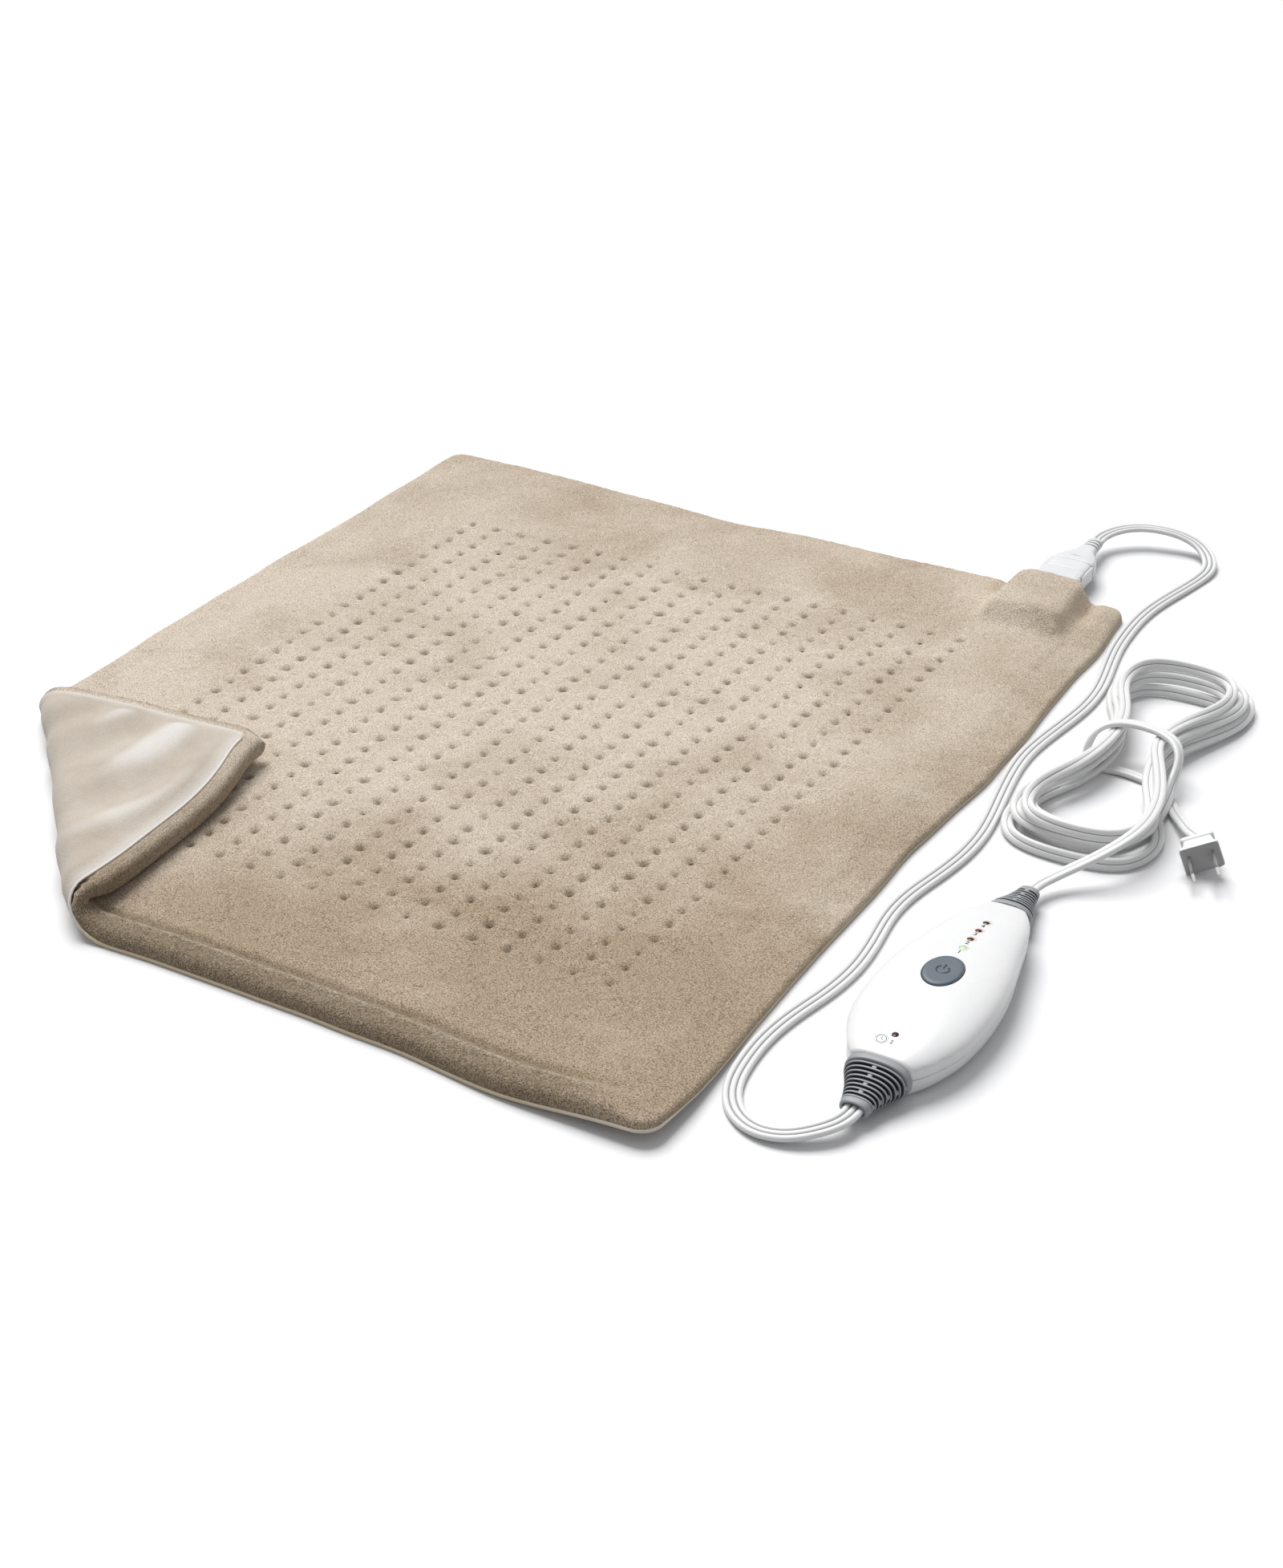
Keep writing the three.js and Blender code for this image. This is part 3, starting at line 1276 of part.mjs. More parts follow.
function plugBlade(side) {
  const half = bladeWidth / 2;
  const tip = half / 3;
  const corners = [
    [-bladeSeat, -half], [bladeLength - tip, -half], [bladeLength, -half + tip],
    [bladeLength, half - tip], [bladeLength - tip, half], [-bladeSeat, half],
  ];
  const outline = new THREE.Shape(corners.map(([x, z]) => new THREE.Vector2(x, z)));
  const geometry = new THREE.ExtrudeGeometry(outline, { depth: bladeThickness, bevelEnabled: false });
  geometry.rotateX(Math.PI / 2);
  geometry.translate(0, (side * bladeSpacing + bladeThickness) / 2, 0);
  return geometry;
}

// Assembly
const group = new THREE.Group();

group.add(
  named('top_cover', folded(topCover()), plush),
  named('edge_hem', folded(edgeHem()), plush),
  named('socket_cuff', socketCuff(), plush),
  named('underside_cover', folded(undersideCover()), brushedCloth),
  named('heating_felt', folded(heatingFelt()), felt),
  named('heating_wire', folded(heatingWire()), wireRubber),
  named('pad_socket', padSocket(), clearWhite),
);
pinXs.forEach((x, i) => group.add(named(`socket_pin_${i + 1}`, socketPin(x), brass)));

group.add(named('connector_hood', connectorHood(), clearWhite));
pinXs.forEach((x, i) => group.add(named(`connector_contact_${i + 1}`, contact(x), brass)));
group.add(
  named('release_tab_left', releaseTab(-1), clearWhite),
  named('release_tab_right', releaseTab(1), clearWhite),
  named('connector_relief', connectorRelief(), clearWhite),
  named('pad_lead', padLead(), whiteCord),
);

const controller = new THREE.Group();
controller.position.set(controllerX, controllerY, 0);
controller.add(
  named('top_shell', topShell(), whiteGloss),
  named('bottom_shell', bottomShell(), whiteGloss),
  named('power_button', powerButton(), slate),
  named('tact_switch', tactSwitch(), blackPlastic),
  named('circuit_board', circuitBoard(), boardGreen),
  named('triac', triac(), blackPlastic),
  named('fuse', fuse(), ceramic),
  named('capacitor', capacitor(), slate),
  named('microcontroller', microcontroller(), blackPlastic),
  named('lower_strain_relief', strainRelief(lowerRelief, leadWidth, leadThickness), greyRubber),
  named('upper_strain_relief', strainRelief(upperRelief, mainsWidth, mainsThickness), greyRubber),
);
for (const [name, y] of Object.entries(indicatorPlaces)) {
  controller.add(named(`${name}_indicator`, indicator(y), name === 'warm' ? greenLens : darkLens));
}
screwPlaces.forEach(([x, y], i) => controller.add(named(`housing_screw_${i + 1}`, screw(x, y), steel)));
group.add(controller);

plugFrame.add(
  named('plug_body', plugBody(), whiteGloss),
  named('plug_blade_left', plugBlade(1), nickel),
  named('plug_blade_right', plugBlade(-1), nickel),
);
group.add(
  named('mains_stretch', mainsStretch(), whiteCord),
  named('mains_hank', mainsHank(), whiteCord),
  named('mains_tail', mainsTail(), whiteCord),
  plugFrame,
);

console.log(`Least gap of the hank to itself: ${hankSelfGap().toFixed(2)} mm`);

export default group;
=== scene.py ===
import bpy
import bmesh
import math
import numpy as np
from mathutils import Matrix, Vector


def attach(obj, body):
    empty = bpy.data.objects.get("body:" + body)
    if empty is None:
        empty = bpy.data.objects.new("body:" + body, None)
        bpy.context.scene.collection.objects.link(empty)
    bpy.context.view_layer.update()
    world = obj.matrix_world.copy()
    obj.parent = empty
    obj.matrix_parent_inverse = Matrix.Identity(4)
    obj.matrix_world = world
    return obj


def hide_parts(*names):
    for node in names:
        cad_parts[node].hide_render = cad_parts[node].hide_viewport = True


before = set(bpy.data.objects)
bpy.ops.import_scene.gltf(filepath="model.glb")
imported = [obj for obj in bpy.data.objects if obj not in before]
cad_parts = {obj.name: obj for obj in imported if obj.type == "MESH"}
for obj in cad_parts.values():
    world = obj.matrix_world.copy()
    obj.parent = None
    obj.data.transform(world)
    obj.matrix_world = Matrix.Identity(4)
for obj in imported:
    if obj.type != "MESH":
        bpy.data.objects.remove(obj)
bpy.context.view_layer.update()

# Studio: a white sweep of paper under the object, a lens at standing height that looks 30 degrees down,
# one big soft light over the far left side, and an even pale room around it.


def stand(name, data):
    """Puts a new object in the scene."""
    thing = bpy.data.objects.new(name, data)
    bpy.context.collection.objects.link(thing)
    return thing


def srgb(code):
    """Turns a hex colour as it is seen on a screen into linear red, green, blue and full cover."""
    parts = [int(code[i:i + 2], 16) / 255 for i in (1, 3, 5)]
    return (*[p / 12.92 if p <= 0.04045 else ((p + 0.055) / 1.055) ** 2.4 for p in parts], 1)


def give(node, inputs):
    """Sets a node's inputs. A hex colour turns linear, and another node's output is linked."""
    for name, value in inputs.items():
        if isinstance(value, bpy.types.NodeSocket):
            node.id_data.links.new(value, node.inputs[name])
        else:
            colour = isinstance(value, str) and value[0] == "#"
            node.inputs[name].default_value = srgb(value) if colour else value


def add(tree, kind, inputs=None, out=None, **settings):
    """Adds a node and gives the output asked for, or its first in use. kind leaves out ShaderNode."""
    node = tree.nodes.new(kind if kind.startswith(("Geometry", "NodeGroup")) else "ShaderNode" + kind)
    for name, value in settings.items():
        setattr(node, name, value)
    give(node, inputs or {})
    return node.outputs[out] if out else next(socket for socket in node.outputs if socket.enabled)


def new_material(name):
    material = bpy.data.materials.new(name)
    material.use_nodes = True
    return material, material.node_tree, material.node_tree.nodes["Principled BSDF"]


def mesh_piece(name, points, faces, material, smooth_faces=True):
    """A mesh object at the origin, from points in millimetres."""
    mesh = bpy.data.meshes.new(name)
    mesh.from_pydata((np.asarray(points, float) * 0.001).tolist(), [], faces)
    mesh.materials.append(material)
    mesh.polygons.foreach_set("use_smooth", [smooth_faces] * len(mesh.polygons))
    mesh.update()
    return stand(name, mesh)


camera = stand("camera", bpy.data.cameras.new("camera"))
camera.data.lens = 57.127
camera.location = (0.6891, -1.07431, 0.69199)
camera.rotation_euler = (math.radians(60.108), 0, math.radians(29.717))
bpy.context.scene.camera = camera
bpy.context.scene.view_settings.view_transform = "Standard"

# White paper, matt. The camera sees it burnt out to white wherever no shadow falls, as in the photograph.
paper, tree, shader = new_material("matt white backdrop paper")
ray = add(tree, "LightPath").node.outputs
seen = add(tree, "Math", {0: ray["Is Camera Ray"], 1: ray["Is Glossy Ray"]}, operation="MAXIMUM")
seen = add(tree, "Math", {0: seen, 1: ray["Is Transmission Ray"]}, operation="MAXIMUM")
tone = add(tree, "Mix", {0: seen, 6: (0.5, 0.5, 0.5, 1), 7: (0.96, 0.96, 0.965, 1)}, data_type="RGBA")
give(tree.nodes["Material Output"], {"Surface": add(tree, "BsdfDiffuse", {"Color": tone})})
tree.nodes.remove(shader)
floor_reach = 9000
corners = [(x * floor_reach, y * floor_reach, 0) for x, y in ((-1, -1), (1, -1), (1, 1), (-1, 1))]
mesh_piece("floor", corners, [(0, 1, 2, 3)], paper, smooth_faces=False)

room = bpy.data.worlds.new("room")
room.use_nodes = True
bpy.context.scene.world = room
tree = room.node_tree
to_camera = add(tree, "LightPath", out="Is Camera Ray")
pale = add(tree, "Background", {"Color": "#FBFCFF", "Strength": 0.36})
white = add(tree, "Background", {"Color": (1, 1, 1, 1), "Strength": 1.0})
give(tree.nodes["World Output"], {"Surface": add(tree, "MixShader", {0: to_camera, 1: pale, 2: white})})

sun = stand("soft_key", bpy.data.lights.new("soft_key", "SUN"))
sun.data.energy = 2.85
sun.data.angle = 0.7
sun.rotation_euler = Vector((0.42, -0.34, -0.84)).to_track_quat("-Z", "Y").to_euler()

# Underside: smooth brushed knit in warm cream grey, cut to 508 x 610 mm, that backs the whole pad.
# It shows on the corner that is folded over, where it puckers into soft folds inside its piped edge.
pad_width = 508.0
pad_length = 610.0
pad_thickness = 9.3
corner_radius = 10.0
tip_radius = 7.0
cloth_thickness = 1.8
fold_on_side = 188.0
fold_on_front = 194.0
fold_radius = 12.5
fold_angle = math.radians(180.6)
fold_across = np.array([fold_on_side, fold_on_front]) / math.hypot(fold_on_side, fold_on_front)
fold_distance = fold_on_front * fold_across[0]
fold_arc = (fold_radius - pad_thickness / 2) * fold_angle
# Places on the flat corner, and how far its slack carries them away from a plain roll: x, y, right, back, up
slack = [
    (-254, -117, 5, -6, -1), (-254, -180, 2, 2, 0), (-254, -245, -9, -1, 1), (-254, -305, -15, -1, 3),
    (-200, -305, -3, 3, 1), (-140, -305, -4, -4, 0), (-62, -305, -5, 3, 2), (-200, -205, -2, 3, 0),
]
slack_reach = 34.0
# The front right corner is drawn out and curls up off the table: right, back, up
corner_curl = np.array([1.5, -5.0, 6.5])
curl_reach = 40.0

# Where the edges bow as the pad lies: way out of the pad, place along the edge, millimetres out, reach
bows = [
    ((0, -1), 175, 7.5, 33), ((1, 0), -262, 5.9, 38), ((1, 0), 85, 7.3, 60), ((1, 0), 240, 3.2, 28),
    ((0, 1), -195, 7.5, 60), ((0, 1), -22, -6, 24),
]


def smooth(share):
    share = np.clip(share, 0, 1)
    return share * share * (3 - 2 * share)


def lumps(x, y, size, seed):
    """Soft random height from -1 to 1, with lumps about that many millimetres across."""
    table = np.random.default_rng(seed).uniform(-1, 1, (512, 512))
    u = x / size
    v = y / size
    i = np.floor(u).astype(int)
    j = np.floor(v).astype(int)
    a = smooth(u - i)
    b = smooth(v - j)
    low = table[i % 512, j % 512] * (1 - a) + table[(i + 1) % 512, j % 512] * a
    high = table[i % 512, (j + 1) % 512] * (1 - a) + table[(i + 1) % 512, (j + 1) % 512] * a
    return low * (1 - b) + high * b


def peak(gap, width):
    """A bell that is 1 where there is no gap."""
    return np.exp(-(gap / width) ** 2)


def round_turns(steps):
    return np.linspace(0, 2 * math.pi, steps, endpoint=False)


def past_fold(x, y):
    return fold_distance - (x + pad_width / 2) * fold_across[0] - (y + pad_length / 2) * fold_across[1]


def folded(x, y, w):
    """Turns the flat pad's points, w above the underside, up round the fold and back over the pad."""
    s = past_fold(x, y)
    turn = np.clip(s / fold_arc, 0, 1) * fold_angle
    rest = np.maximum(s - fold_arc, 0)
    along = np.where(s > 0, (fold_radius - w) * np.sin(turn) + rest * np.cos(turn), s)
    up = fold_radius - (fold_radius - w) * np.cos(turn) + rest * np.sin(turn)
    turned = np.stack([x + (s - along) * fold_across[0], y + (s - along) * fold_across[1], up], -1)
    for place_x, place_y, *move in slack:
        near = np.exp(-((x - place_x) ** 2 + (y - place_y) ** 2) / (2 * slack_reach ** 2))
        turned += (near * smooth((s + 2) / 16))[..., None] * np.array(move)
    from_corner = (x - pad_width / 2) ** 2 + (y + pad_length / 2) ** 2
    turned += np.exp(-from_corner / (2 * curl_reach ** 2))[..., None] * corner_curl
    return turned


def edge_lines(half, rim, step):
    """Places of the grid's lines on one side: close together along the rims and even between them."""
    inner = half - rim[-1]
    even = np.linspace(-inner, inner, int(2 * inner / step / 4) * 4 + 1)
    before = np.array([-half + r for r in rim[:-1]])
    return np.concatenate([before, even, -before[::-1]])


def pad_grid(xs, ys, inset):
    """Grid points of the pad's outline with round corners, and how far each is from the four edges."""
    x, y = np.meshgrid(xs, ys, indexing="ij")
    half_x = pad_width / 2 - inset
    half_y = pad_length / 2 - inset
    x = x * half_x / xs[-1]
    y = y * half_y / ys[-1]
    gap_x = half_x - np.abs(x)
    gap_y = half_y - np.abs(y)
    depth = np.minimum(gap_x, gap_y)
    radius = np.where((x < 0) & (y < 0), tip_radius, corner_radius)
    radius = np.maximum(radius - inset - depth, 0)
    beside = np.maximum(gap_x, gap_y) - depth
    bent = (radius > 0) & (beside < radius)
    turn = np.where(bent, (1 - beside / np.maximum(radius, 1e-6)) * math.pi / 4, 0)
    far_x = np.where(gap_x < gap_y, radius * np.cos(turn), radius * np.sin(turn))
    far_y = np.where(gap_x < gap_y, radius * np.sin(turn), radius * np.cos(turn))
    centre_x = half_x - depth - radius
    centre_y = half_y - depth - radius
    x = np.where(bent, np.sign(x) * (centre_x + far_x), x)
    y = np.where(bent, np.sign(y) * (centre_y + far_y), y)
    return x, y, depth


def edge_wave(x, y):
    """The cut edges aren't straight: they bow, and wander by a millimetre or two along the pad."""
    near_x = 1 - smooth((pad_width / 2 - np.abs(x)) / 70)
    near_y = 1 - smooth((pad_length / 2 - np.abs(y)) / 70)
    wave_x = 1.5 * lumps(x * 0.02, y, 85, 3) + 0.6 * lumps(x * 0.02, y, 31, 4)
    wave_y = 1.5 * lumps(x, y * 0.02, 85, 5) + 0.6 * lumps(x, y * 0.02, 31, 6)
    moved_x = x + wave_x * near_x
    moved_y = y + wave_y * near_y
    for (way_x, way_y), place, bow, reach in bows:
        along = y if way_x else x
        inside = (pad_width if way_x else pad_length) / 2 - x * way_x - y * way_y
        share = bow * (1 - smooth(inside / 70)) * np.exp(-((along - place) / reach) ** 2 / 2)
        moved_x = moved_x + way_x * share
        moved_y = moved_y + way_y * share
    return moved_x, moved_y


def grid_faces(rows, columns, first=0, flip=False):
    """Quads of a grid of rows x columns points, numbered from first."""
    starts = [first + i * columns + j for i in range(rows - 1) for j in range(columns - 1)]
    quads = [(a, a + columns, a + columns + 1, a + 1) for a in starts]
    return [quad[::-1] for quad in quads] if flip else quads


def rim_loop(rows, columns):
    """Numbers of the grid's outermost points, once round."""
    grid = np.arange(rows * columns).reshape(rows, columns)
    return np.concatenate([grid[:, 0], grid[-1, 1:], grid[-2::-1, -1], grid[0, -2:0:-1]]).tolist()


def sheet(outer, inner):
    """Points and faces of a layer between two grids of points, closed round its rim."""
    rows, columns = outer.shape[:2]
    count = rows * columns
    faces = grid_faces(rows, columns, flip=True) + grid_faces(rows, columns, count)
    loop = rim_loop(rows, columns)
    faces += [(b, a, a + count, b + count) for a, b in zip(loop, loop[1:] + loop[:1])]
    return np.concatenate([outer.reshape(-1, 3), inner.reshape(-1, 3)]), faces


def mark(piece, name, values):
    """Writes a number or a vector on each of the piece's points."""
    values = np.asarray(values, float)
    kind, field = ("FLOAT", "value") if values.ndim == 1 else ("FLOAT_VECTOR", "vector")
    piece.data.attributes.new(name, kind, "POINT").data.foreach_set(field, values.reshape(-1))


def puckers(x, y):
    """Soft folds of the backing on the turned corner, a few millimetres high, that die out at its edges."""
    s = past_fold(x, y)
    side = (x + pad_width / 2) * fold_across[1] - (y + pad_length / 2) * fold_across[0]
    away = np.minimum(x + pad_width / 2, y + pad_length / 2)
    ridges = np.sin(side / 8 + 1.8 * lumps(x, y, 60, 8) + s / 30)
    swell = 1.7 * ridges + 1.8 * lumps(x, y, 42, 9) + 0.5 * lumps(x, y, 15, 10)
    return (1.6 + swell) * smooth((s - 3) / 22) * smooth((away - 1) / 16)


knit, tree, shader = new_material("brushed polyester knit")
# Fine knit, brushed until it looks like suede: almost no shine, a pale edge glow and faint shading of the nap
where = add(tree, "TexCoord", out="Object")
nap = add(tree, "TexNoise", {"Vector": where, "Scale": 26, "Detail": 3, "Roughness": 0.6})
tone = add(tree, "MapRange", {0: nap, 1: 0.35, 2: 0.65})
colour = add(tree, "Mix", {0: tone, 6: "#BDAF9D", 7: "#D3C7B7"}, data_type="RGBA")
# Loops of the knit, 1.1 mm apart, drawn about twice as coarse as the real ones so that they show
loops = add(tree, "TexNoise", {"Vector": where, "Scale": 900, "Detail": 2, "Roughness": 0.7})
fleck = add(tree, "Mix", {0: loops, 6: "#8F8272", 7: "#F6F1E9"}, data_type="RGBA")
# Wales: rows of loops 1.3 mm apart
wales = {"Vector": where, "Scale": 235, "Distortion": 1.2, "Detail": 1}
wales = add(tree, "TexWave", wales, out="Fac", bands_direction="X")
shadow = add(tree, "MapRange", {0: wales, 3: 0.0, 4: 0.11})
# Painted highlight: paler colour on the crests of the folds and along the turned cloth's edges
painted_highlight = add(tree, "Attribute", out="Fac", attribute_name="painted_highlight")
for share, over in ((painted_highlight, "#F2EEE8"), (0.28, fleck), (shadow, "#9A8D7B")):
    colour = add(tree, "Mix", {0: share, 6: colour, 7: over}, data_type="RGBA")
relief = add(tree, "Bump", {"Height": loops, "Strength": 0.5, "Distance": 0.0006})
give(shader, {"Base Color": colour, "Normal": relief, "Roughness": 0.92, "Specular IOR Level": 0.25,
              "Sheen Weight": 0.25, "Sheen Roughness": 0.5})

cloth_inset = 0.9
cloth_rim = [0, 0.6, 1.8, 4]
cloth_step = 3.4
over_table = 0.05
xs = edge_lines(pad_width / 2, cloth_rim, cloth_step)
ys = edge_lines(pad_length / 2, cloth_rim, cloth_step)
x, y, depth = pad_grid(xs, ys, cloth_inset)
lift = puckers(x, y)
x, y = edge_wave(x, y)
round_off = 0.5 * (1 - smooth(depth / 1.8))
outer = folded(x, y, round_off - lift)
outer[..., 2] = np.maximum(outer[..., 2], over_table)
inner = folded(x, y, cloth_thickness - round_off - np.minimum(lift, 0))
backing = mesh_piece("underside_cloth", *sheet(outer, inner), knit)
# Share of painted highlight: crests of the puckers and the cloth's edges, only past the fold
painted_highlight_share = np.maximum(smooth((lift - 1.9) / 2.8), 0.8 * (1 - smooth(depth / 7)))
painted_highlight_share *= smooth((past_fold(x, y) - 8) / 20)
mark(backing, "painted_highlight", np.tile(painted_highlight_share.reshape(-1), 2))
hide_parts("underside_cover")
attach(backing, "pad")

# Piping: a thin twisted cotton cord, sewn into the seam between the backing and the plush all the way round.
# It turns up with the corner, and is squeezed flat along the fold and the right side.
piping_inset = 0.5
piping_radius = 1.2
piping_height = 1.45
piping_sides = 8


def lofted(rings, closed=False):
    """Points and faces of a skin over rings of points. It ends in flat faces, or joins its own start."""
    rings = np.asarray(rings, float)
    count, ring = rings.shape[:2]
    faces = []
    for i in range(count - (not closed)):
        here = i * ring
        after = (i + 1) % count * ring
        faces += [(here + j, here + (j + 1) % ring, after + (j + 1) % ring, after + j) for j in range(ring)]
    if not closed:
        faces += [tuple(reversed(range(ring))), tuple(range((count - 1) * ring, count * ring))]
    return rings.reshape(-1, 3), faces


x, y, _ = pad_grid(xs, ys, piping_inset)
loop = rim_loop(*x.shape)
seam_line = np.stack([place.reshape(-1)[loop] for place in edge_wave(x, y)], 1)
ahead = np.roll(seam_line, -1, 0) - np.roll(seam_line, 1, 0)
outward = np.stack([-ahead[:, 1], ahead[:, 0]], 1) / np.linalg.norm(ahead, axis=1)[:, None]
outward *= np.sign((outward * seam_line).sum(1))[:, None]
turned_share = smooth(past_fold(seam_line[:, 0], seam_line[:, 1]) / 20)
tucked = turned_share * (seam_line[:, 0] < 4 - pad_width / 2)
at_right = smooth((seam_line[:, 0] - pad_width / 2 + 8) / 6) * smooth((seam_line[:, 1] + 298) / 24)
girth = piping_radius * (1 - 0.45 * turned_share - 0.35 * tucked - 0.35 * at_right)
rings = []
for k in range(piping_sides):
    turn = 2 * math.pi * k / piping_sides
    ring = seam_line + outward * (girth * math.cos(turn))[:, None]
    rings.append(folded(ring[:, 0], ring[:, 1], piping_height - 0.4 * turned_share + girth * math.sin(turn)))
binding, tree, shader = new_material("twisted cotton piping")
# Painted shade: cream where it turns up with the corner, and darker tan where it lies low by the table
where = add(tree, "TexCoord", out="Object")
painted_light_by_height = add(tree, "MapRange", {0: add(tree, "SeparateXYZ", {0: where}, out="Z"), 1: 0.0035, 2: 0.013})
strands = add(tree, "TexNoise", {"Vector": where, "Scale": 1100, "Detail": 2})
colour = add(tree, "Mix", {0: painted_light_by_height, 6: "#DACAAC", 7: "#F3EEE6"}, data_type="RGBA")
colour = add(tree, "Mix", {0: 0.25, 6: colour, 7: strands}, data_type="RGBA", blend_type="OVERLAY")
relief = add(tree, "Bump", {"Height": strands, "Strength": 0.4, "Distance": 0.0005})
give(shader, {"Base Color": colour, "Normal": relief, "Roughness": 0.85, "Sheen Weight": 0.2})
piping = mesh_piece("seam_piping", *lofted(np.stack(rings, 1), closed=True), binding)
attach(piping, "pad")

# Plush face: micro-mink pile, quilted to the felt by a grid of tacks, with a rolled border whose stitched
# groove shows along the front, and a hump at the back edge where it is sewn over the socket.
plush_base = 2.1
felt_cover = 5.7
plush_top = 9.3
tack_columns = 19
tack_rows = 30
tack_pitch_x = 19.72
tack_pitch_y = 14.59
tack_first = (-172.0, -218.0)
socket_x = 204.0
socket_top = 17.45
groove_depth = 18.0
ridge_depth = 14.3
socket_half_width = 20.0
roll_puff = 8.0
roll_height = 14.0
plush_step = 1.5
under_step = 4
plush_rim = [0, 0.12, 0.4, 0.9, 1.6, 2.5, 3.6, 5.0, 6.6]
xs = edge_lines(pad_width / 2, plush_rim, plush_step)
ys = edge_lines(pad_length / 2, plush_rim, plush_step)
x, y, depth = pad_grid(xs, ys, 0)
front = y + pad_length / 2
others = np.minimum(pad_length / 2 - y, pad_width / 2 - np.abs(x))
at_front = smooth((others - front) / 14 + 0.5)

# Border, groove and the soft swell of the field
at_front *= smooth((pad_width / 2 - x - 4) / 60)
roll = (0.3 + 0.5 * at_front) * (1 - smooth((depth - 9) / 7)) + at_front * peak(depth - ridge_depth, 2.0)
groove = (0.25 + 1.5 * at_front) * peak(depth - groove_depth, 2.4)
thinned = (1 - smooth((pad_width / 2 - x) / 26)) + 0.4 * (1 - smooth((pad_length / 2 - y) / 20))
field = 0.7 * smooth((depth - groove_depth) / 26)
sway = 0.9 * lumps(x, y, 70, 21) + 0.5 * lumps(x, y, 33, 22)
height = plush_top + roll - groove + field + sway * smooth(depth / 30) - 3.9 * np.clip(thinned, 0, 1)

# Tacks pull the pile down to the felt, each a few millimetres off its place as the machine left it
column = np.clip(np.round((x - tack_first[0]) / tack_pitch_x), 0, tack_columns - 1)
row = np.clip(np.round((y - tack_first[1]) / tack_pitch_y), 0, tack_rows - 1)


def tack_place(column, row):
    off_x = 0.9 * lumps(column * 7.3, row * 5.1, 1.7, 23)
    off_y = 0.9 * lumps(column * 6.1, row * 8.7, 1.9, 24)
    return tack_first[0] + column * tack_pitch_x + off_x, tack_first[1] + row * tack_pitch_y + off_y


tack_x, tack_y = tack_place(column, row)
skew = lumps(column * 5.3, row * 6.9, 1.8, 29)
reach = np.hypot((x - tack_x) * (1 + 0.25 * skew) + 0.4 * skew * (y - tack_y), (y - tack_y) * 0.85)
reach = np.maximum(reach + 0.45 * lumps(x, y, 1.6, 30), 0)
pull = 0.75 + 0.35 * lumps(column * 3.7, row * 4.3, 2.1, 27)
height += 0.35 * peak(reach - 4.5, 2.4)
height -= pull * (2.9 * peak(reach, 1.7) + 0.75 * peak(reach, 5.0))
# Painted shade in each tack's dimple
tack_painted_shade = peak(reach, 1.75) * np.clip(pull + 0.1, 0, 1)

# The hump over the socket, with a crease where it is sewn down on either side
beside = np.abs(x - socket_x)
hump = (1 - smooth((beside - socket_half_width) / 8)) * smooth((y - 234) / 20)
crown = 19.2 + 1.5 * np.clip(1 - (beside / socket_half_width) ** 2, 0, 1) + 0.6 * lumps(x, y, 15, 31)
crown -= 0.8 * (1 - smooth((pad_length / 2 - y) / 10))
height += (crown - height) * hump
for crease_x, crease_long in ((174, 12), (233, 18)):
    height -= 4.2 * np.exp(-((x - crease_x) / 4.5) ** 2 - ((y - 290) / crease_long) ** 2)
height += 2.6 * np.exp(-((x - 246) / 8) ** 2 - ((y - 284) / 20) ** 2)

# How much of the border's coarse tufts each place has; the stitched groove and the front rim get painted
# shade, and the border's ridge a painted highlight, which counts below zero
hemmed = np.maximum(at_front, smooth((past_fold(x, y) + 12) / 20)) * (1 - smooth((depth - 15) / 4))
painted_seam_shade_and_highlight = 0.75 * peak(depth - 18.4, 2.8) - 0.6 * peak(depth - ridge_depth, 1.5)
painted_seam_shade_and_highlight = at_front * (painted_seam_shade_and_highlight + 0.45 * smooth((12.5 - depth) / 3))

# Clumps of pile
height += (0.28 * lumps(x, y, 4.2, 25) + 0.22 * lumps(x, y, 2.3, 26)) * smooth(depth / 2)

under = plush_base + (felt_cover - plush_base) * smooth((depth - 19) / 6)
mouth = 15.75 + 4 * smooth(depth / 3)
under += (socket_top - under) * (1 - smooth((beside - mouth) / 2.2)) * smooth((y - 252) / 7)


def roll_out(gap):
    """How far the turned border rolls out past the cloth's edge: most in its lower half, on the pad."""
    return (roll_puff + 2.5 * smooth(gap / 3)) * (1 - smooth((gap - 7) / 23))


# Round rim, then the fold, where the plush is squeezed
half = (height - under) / 2
bulge = np.sqrt(np.clip(1 - (1 - np.clip(depth / (1.25 * half + 0.3), 0, 1)) ** 2, 0, 1))
s = past_fold(x, y)
most = 11.2 + (roll_height - 11.2) * smooth((s - fold_arc * 0.75) / 14) - 0.008 * np.maximum(s - fold_arc, 0)
squeeze = smooth((s + 6) / 8)
height = height * (1 - squeeze) + (0.25 * np.minimum(height, most) + 0.75 * most) * squeeze
tight = np.sqrt(np.clip(1 - (1 - np.clip(depth / 1.3, 0, 1)) ** 2, 0, 1))
gap_x = pad_width / 2 - np.abs(x)
gap_y = pad_length / 2 - np.abs(y)
turned_up = smooth((s - 2) / 26)
far_side = turned_up * (1 - smooth(gap_x / 5)) * smooth((gap_y - 3) / 12) * (x < 0)
rim_height = under + (0.05 + 0.27 * turned_up) * (height - under)
rim_height += (0.9 - rim_height) * far_side
top = rim_height + (height - rim_height) * bulge
bottom = rim_height - (rim_height - under) * tight - 1.1 * turned_up * (1 - smooth((depth - 1) / 4))
out_x = -0.4 * roll_out(gap_x) * turned_up * (x < 0) - 2 * far_side
out_y = -roll_out(gap_y) * turned_up * (y < 0)
x, y = edge_wave(x, y)
rows, columns = x.shape
upper = folded(x + out_x, y + out_y, top).reshape(-1, 3)
share = 1 - smooth((depth - 0.2) / 4)
lower = folded(x + out_x * share, y + out_y * share, bottom).reshape(-1, 3)
count = rows * columns

# The hidden lower side has a fourth of the points each way, and shares the rim with the face
faces = grid_faces(rows, columns)
kept = {}


def low_point(i, j):
    if i in (0, rows - 1) or j in (0, columns - 1):
        return i * columns + j
    return kept.setdefault((i, j), count + len(kept))


